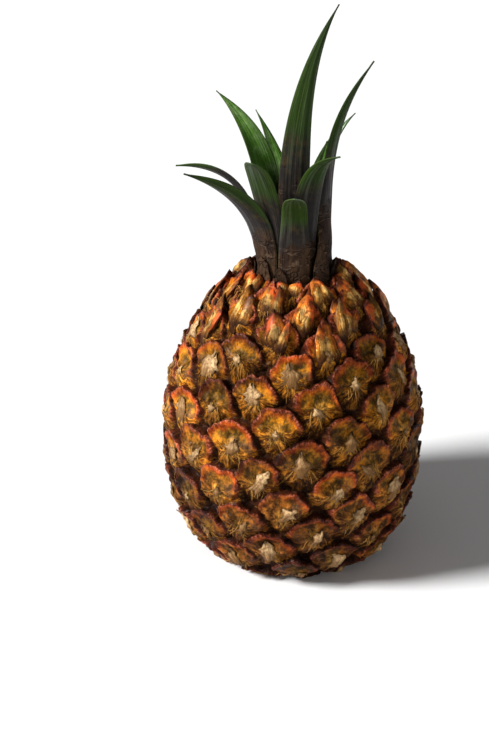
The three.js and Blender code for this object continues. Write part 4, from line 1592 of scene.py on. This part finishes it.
@dataclass
class FootSheaths:
    """Dried papery sheaths, wrinkled and torn along the top, round the crown's foot.

    Each of sheaths is an azimuth and half a span, in degrees, and a height, in millimetres.
    """

    material: Material
    radius: float = 19.7
    hem: float = 2.0
    lean: float = 0.07
    map_span: float = 30.0
    layer_gap: float = 0.35
    curl: float = 0.5
    tear: float = 0.08
    thickness: float = 0.35
    columns: int = 28
    rows: int = 22
    sheaths: tuple[Point, ...] = (
        *((42, 22, 27), (78, 24, 12), (12, 24, 9), (-22, 20, 12), (-52, 22, 16)),
        *((-90, 24, 9), (-140, 30, 10), (178, 30, 10), (132, 30, 11)),
    )

    def build(self) -> Object:
        """Makes all the sheaths as one piece."""
        slabs = make_slabs("foot_sheaths", len(self.sheaths), self.columns, self.rows)
        azimuth, span, height = np.array(self.sheaths, float)[slabs.number].T
        across, along = slabs.across, slabs.along
        seed = slabs.number + 1
        column = np.round(across * self.columns / 2 + 40)
        top = 1 - 0.85 * np.abs(across) ** 3 + 0.06 * np.sin(4.4 * across + 2.1 * seed)
        top += self.tear * (chance(column + 90 * seed, 91) - 0.5)
        rise = along * height * top
        narrowed = 1 - 0.35 * along**2 + 0.05 * np.sin(9 * along + seed)
        turn = np.radians(azimuth + across * span * narrowed)
        ahead, aside = -self.radius * np.cos(turn), self.radius * np.sin(turn)
        places = np.stack([aside, ahead, FOOT_HEIGHT + rise], axis=1)
        folds = waves(places * (1, 1, 2.2), 8.0, 92) * 0.45 + waves(places * (1, 1, 1.6), 4.0, 93) * 0.2
        layer = self.layer_gap * (seed % 3)
        curl = self.curl * smoothstep(0.75, 1.0, along)
        flare = self.hem * smoothstep(2.6, 0, rise) * (0.6 + 0.4 * np.sin(7 * across + seed))
        lifted = (layer + folds + curl) * smoothstep(0, 0.2, along) * (1 - across**6)
        drawn_in = self.lean * np.maximum(rise - 4, 0)
        out = self.radius + lifted + flare - drawn_in + slabs.side * self.thickness / 2
        places[:, :2] *= (out / self.radius)[:, None]
        zero = np.zeros_like(along)
        slabs.lay_out(
            places,
            blade=(across * span / self.map_span, rise / CENTIMETRE),
            tone=(zero, 0.75 + 0.25 * chance(seed, 95)),
            side=(zero, np.abs(across)),
        )
        return enlist(slabs.piece, Slot.LEAF, self.material)


@dataclass
class CrownStem:
    """The short stem that the leaves grow round."""

    finish: StemFinish
    outline: tuple[Pair, ...] = ((0, 0), (5.4, 0), (5.2, 7), (4.97, 13.6), (3.6, 24), (2.2, 33), (0, 34))
    scarred: Pair = (1, 33)
    scar_depth: float = 0.06
    sides: int = 48

    def build(self) -> Object:
        """Spins the outline and rings it with leaf scars."""
        bm = bmesh.new()
        chain = [bm.verts.new((r * MM, 0, (FOOT_HEIGHT + z) * MM)) for r, z in self.outline]
        edges = [bm.edges.new(pair) for pair in zip(chain, chain[1:])]
        bmesh.ops.subdivide_edges(bm, edges=edges[1:-1], cuts=7)
        line, angle = bm.verts[:] + bm.edges[:], 2 * math.pi
        bmesh.ops.spin(
            bm, geom=line, cent=(0, 0, 0), axis=(0, 0, 1), angle=angle, steps=self.sides, use_merge=True
        )
        bmesh.ops.remove_doubles(bm, verts=bm.verts[:], dist=1e-6)
        bmesh.ops.recalc_face_normals(bm, faces=bm.faces[:])
        for vertex in bm.verts:
            height = vertex.co.z / MM - FOOT_HEIGHT
            if self.scarred[0] < height < self.scarred[1]:
                vertex.co.xy *= 1 - self.scar_depth * (0.5 + 0.5 * math.sin(height * 2.6))
        return enlist(make_object(bm, "stem_core"), Slot.STEM, self.finish.build(), "crown_stem")


# ---- The studio ----


@dataclass
class Studio:
    """A plain pale floor, soft light from the left and the camera."""

    finish: FloorFinish
    floor_half: float = 8.0
    aim: Point = (-0.0247, 0.0, 0.0949)
    distance: float = 1.055
    elevation: float = 27.0
    lens: float = 100.0
    sensor: float = 36.0
    key_strength: float = 6.1
    key_softness: float = 15.0
    key_elevation: float = 37.5
    key_azimuth: float = 15.0
    fill_place: Point = (0.5, -1.3, 0.45)
    fill_size: float = 1.0
    fill_power: float = 2.6
    lit_height: float = 0.09
    world_strength: float = 0.16

    def build(self) -> None:
        """Makes the floor, the lights and the camera."""
        self.make_floor()
        self.make_key()
        self.make_fill()
        self.make_world()
        self.make_camera()
        view = bpy.context.scene.view_settings
        view.view_transform = "Standard"
        view.look = "None"

    def make_floor(self) -> None:
        """Lays the floor."""
        bm = bmesh.new()
        bmesh.ops.create_grid(bm, x_segments=8, y_segments=8, size=self.floor_half)
        floor = make_object(bm, "floor")
        floor.data.materials.append(self.finish.build())

    def make_key(self) -> None:
        """Hangs the key light far off to the left, a little in front, so that it lights the whole floor."""
        lamp = bpy.data.lights.new("key", "SUN")
        lamp.energy = self.key_strength
        lamp.angle = math.radians(self.key_softness)
        rise, turn = math.radians(self.key_elevation), math.radians(self.key_azimuth)
        towards = Vector((-math.cos(turn) * math.cos(rise), -math.sin(turn) * math.cos(rise), math.sin(rise)))
        self.hang(lamp, towards)

    def make_fill(self) -> None:
        """Hangs a wide faint lamp in front, which lifts the shaded side."""
        lamp = bpy.data.lights.new("fill", "AREA")
        lamp.shape = "DISK"
        lamp.size = self.fill_size
        lamp.energy = self.fill_power
        self.hang(lamp, Vector(self.fill_place))

    def hang(self, lamp: Light, place: Vector) -> None:
        """Hangs a lamp at a place, facing the fruit."""
        holder = bpy.data.objects.new(lamp.name, lamp)
        holder.location = place
        holder.rotation_euler = (Vector((0, 0, self.lit_height)) - place).to_track_quat("-Z", "Y").to_euler()
        bpy.context.scene.collection.objects.link(holder)

    def make_world(self) -> None:
        """Fills the room with even white light."""
        world = bpy.data.worlds.new("room")
        world.use_nodes = True
        backdrop = world.node_tree.nodes["Background"]
        backdrop.inputs["Color"].default_value = rgb(1, 1, 1)
        backdrop.inputs["Strength"].default_value = self.world_strength
        bpy.context.scene.world = world

    def make_camera(self) -> None:
        """Sets the camera up in front, looking down on the fruit."""
        lens = bpy.data.cameras.new("camera")
        lens.lens = self.lens
        lens.sensor_width = self.sensor
        camera = bpy.data.objects.new("camera", lens)
        slope = math.radians(self.elevation)
        back = Vector((0, -math.cos(slope), math.sin(slope))) * self.distance
        camera.location = Vector(self.aim) + back
        camera.rotation_euler = (math.radians(90 - self.elevation), 0, 0)
        bpy.context.scene.collection.objects.link(camera)
        bpy.context.scene.camera = camera


def main() -> None:
    """Builds the pineapple and its studio."""
    logging.basicConfig(level=logging.INFO, format="%(name)s: %(message)s")
    effects = SharedEffects()
    Studio(FloorFinish(effects)).build()
    rind = Rind(EyeLattice(FruitOutline()), RindFinish(effects))
    rind.build()
    BractTips(rind, PaperFinish(effects)).build()
    NeckScales(rind, ScaleFinish(effects)).build()
    BractFibres(rind, FibreFinish(effects)).build()
    stem = StemFinish(effects)
    CutStalk(stem).build()
    CrownStem(stem).build()
    leaf = LeafFinish(effects).build()
    for shape in LEAVES:
        Leaf(shape, leaf).build()
    FootSheaths(leaf).build()


if __name__ == "__main__":
    main()
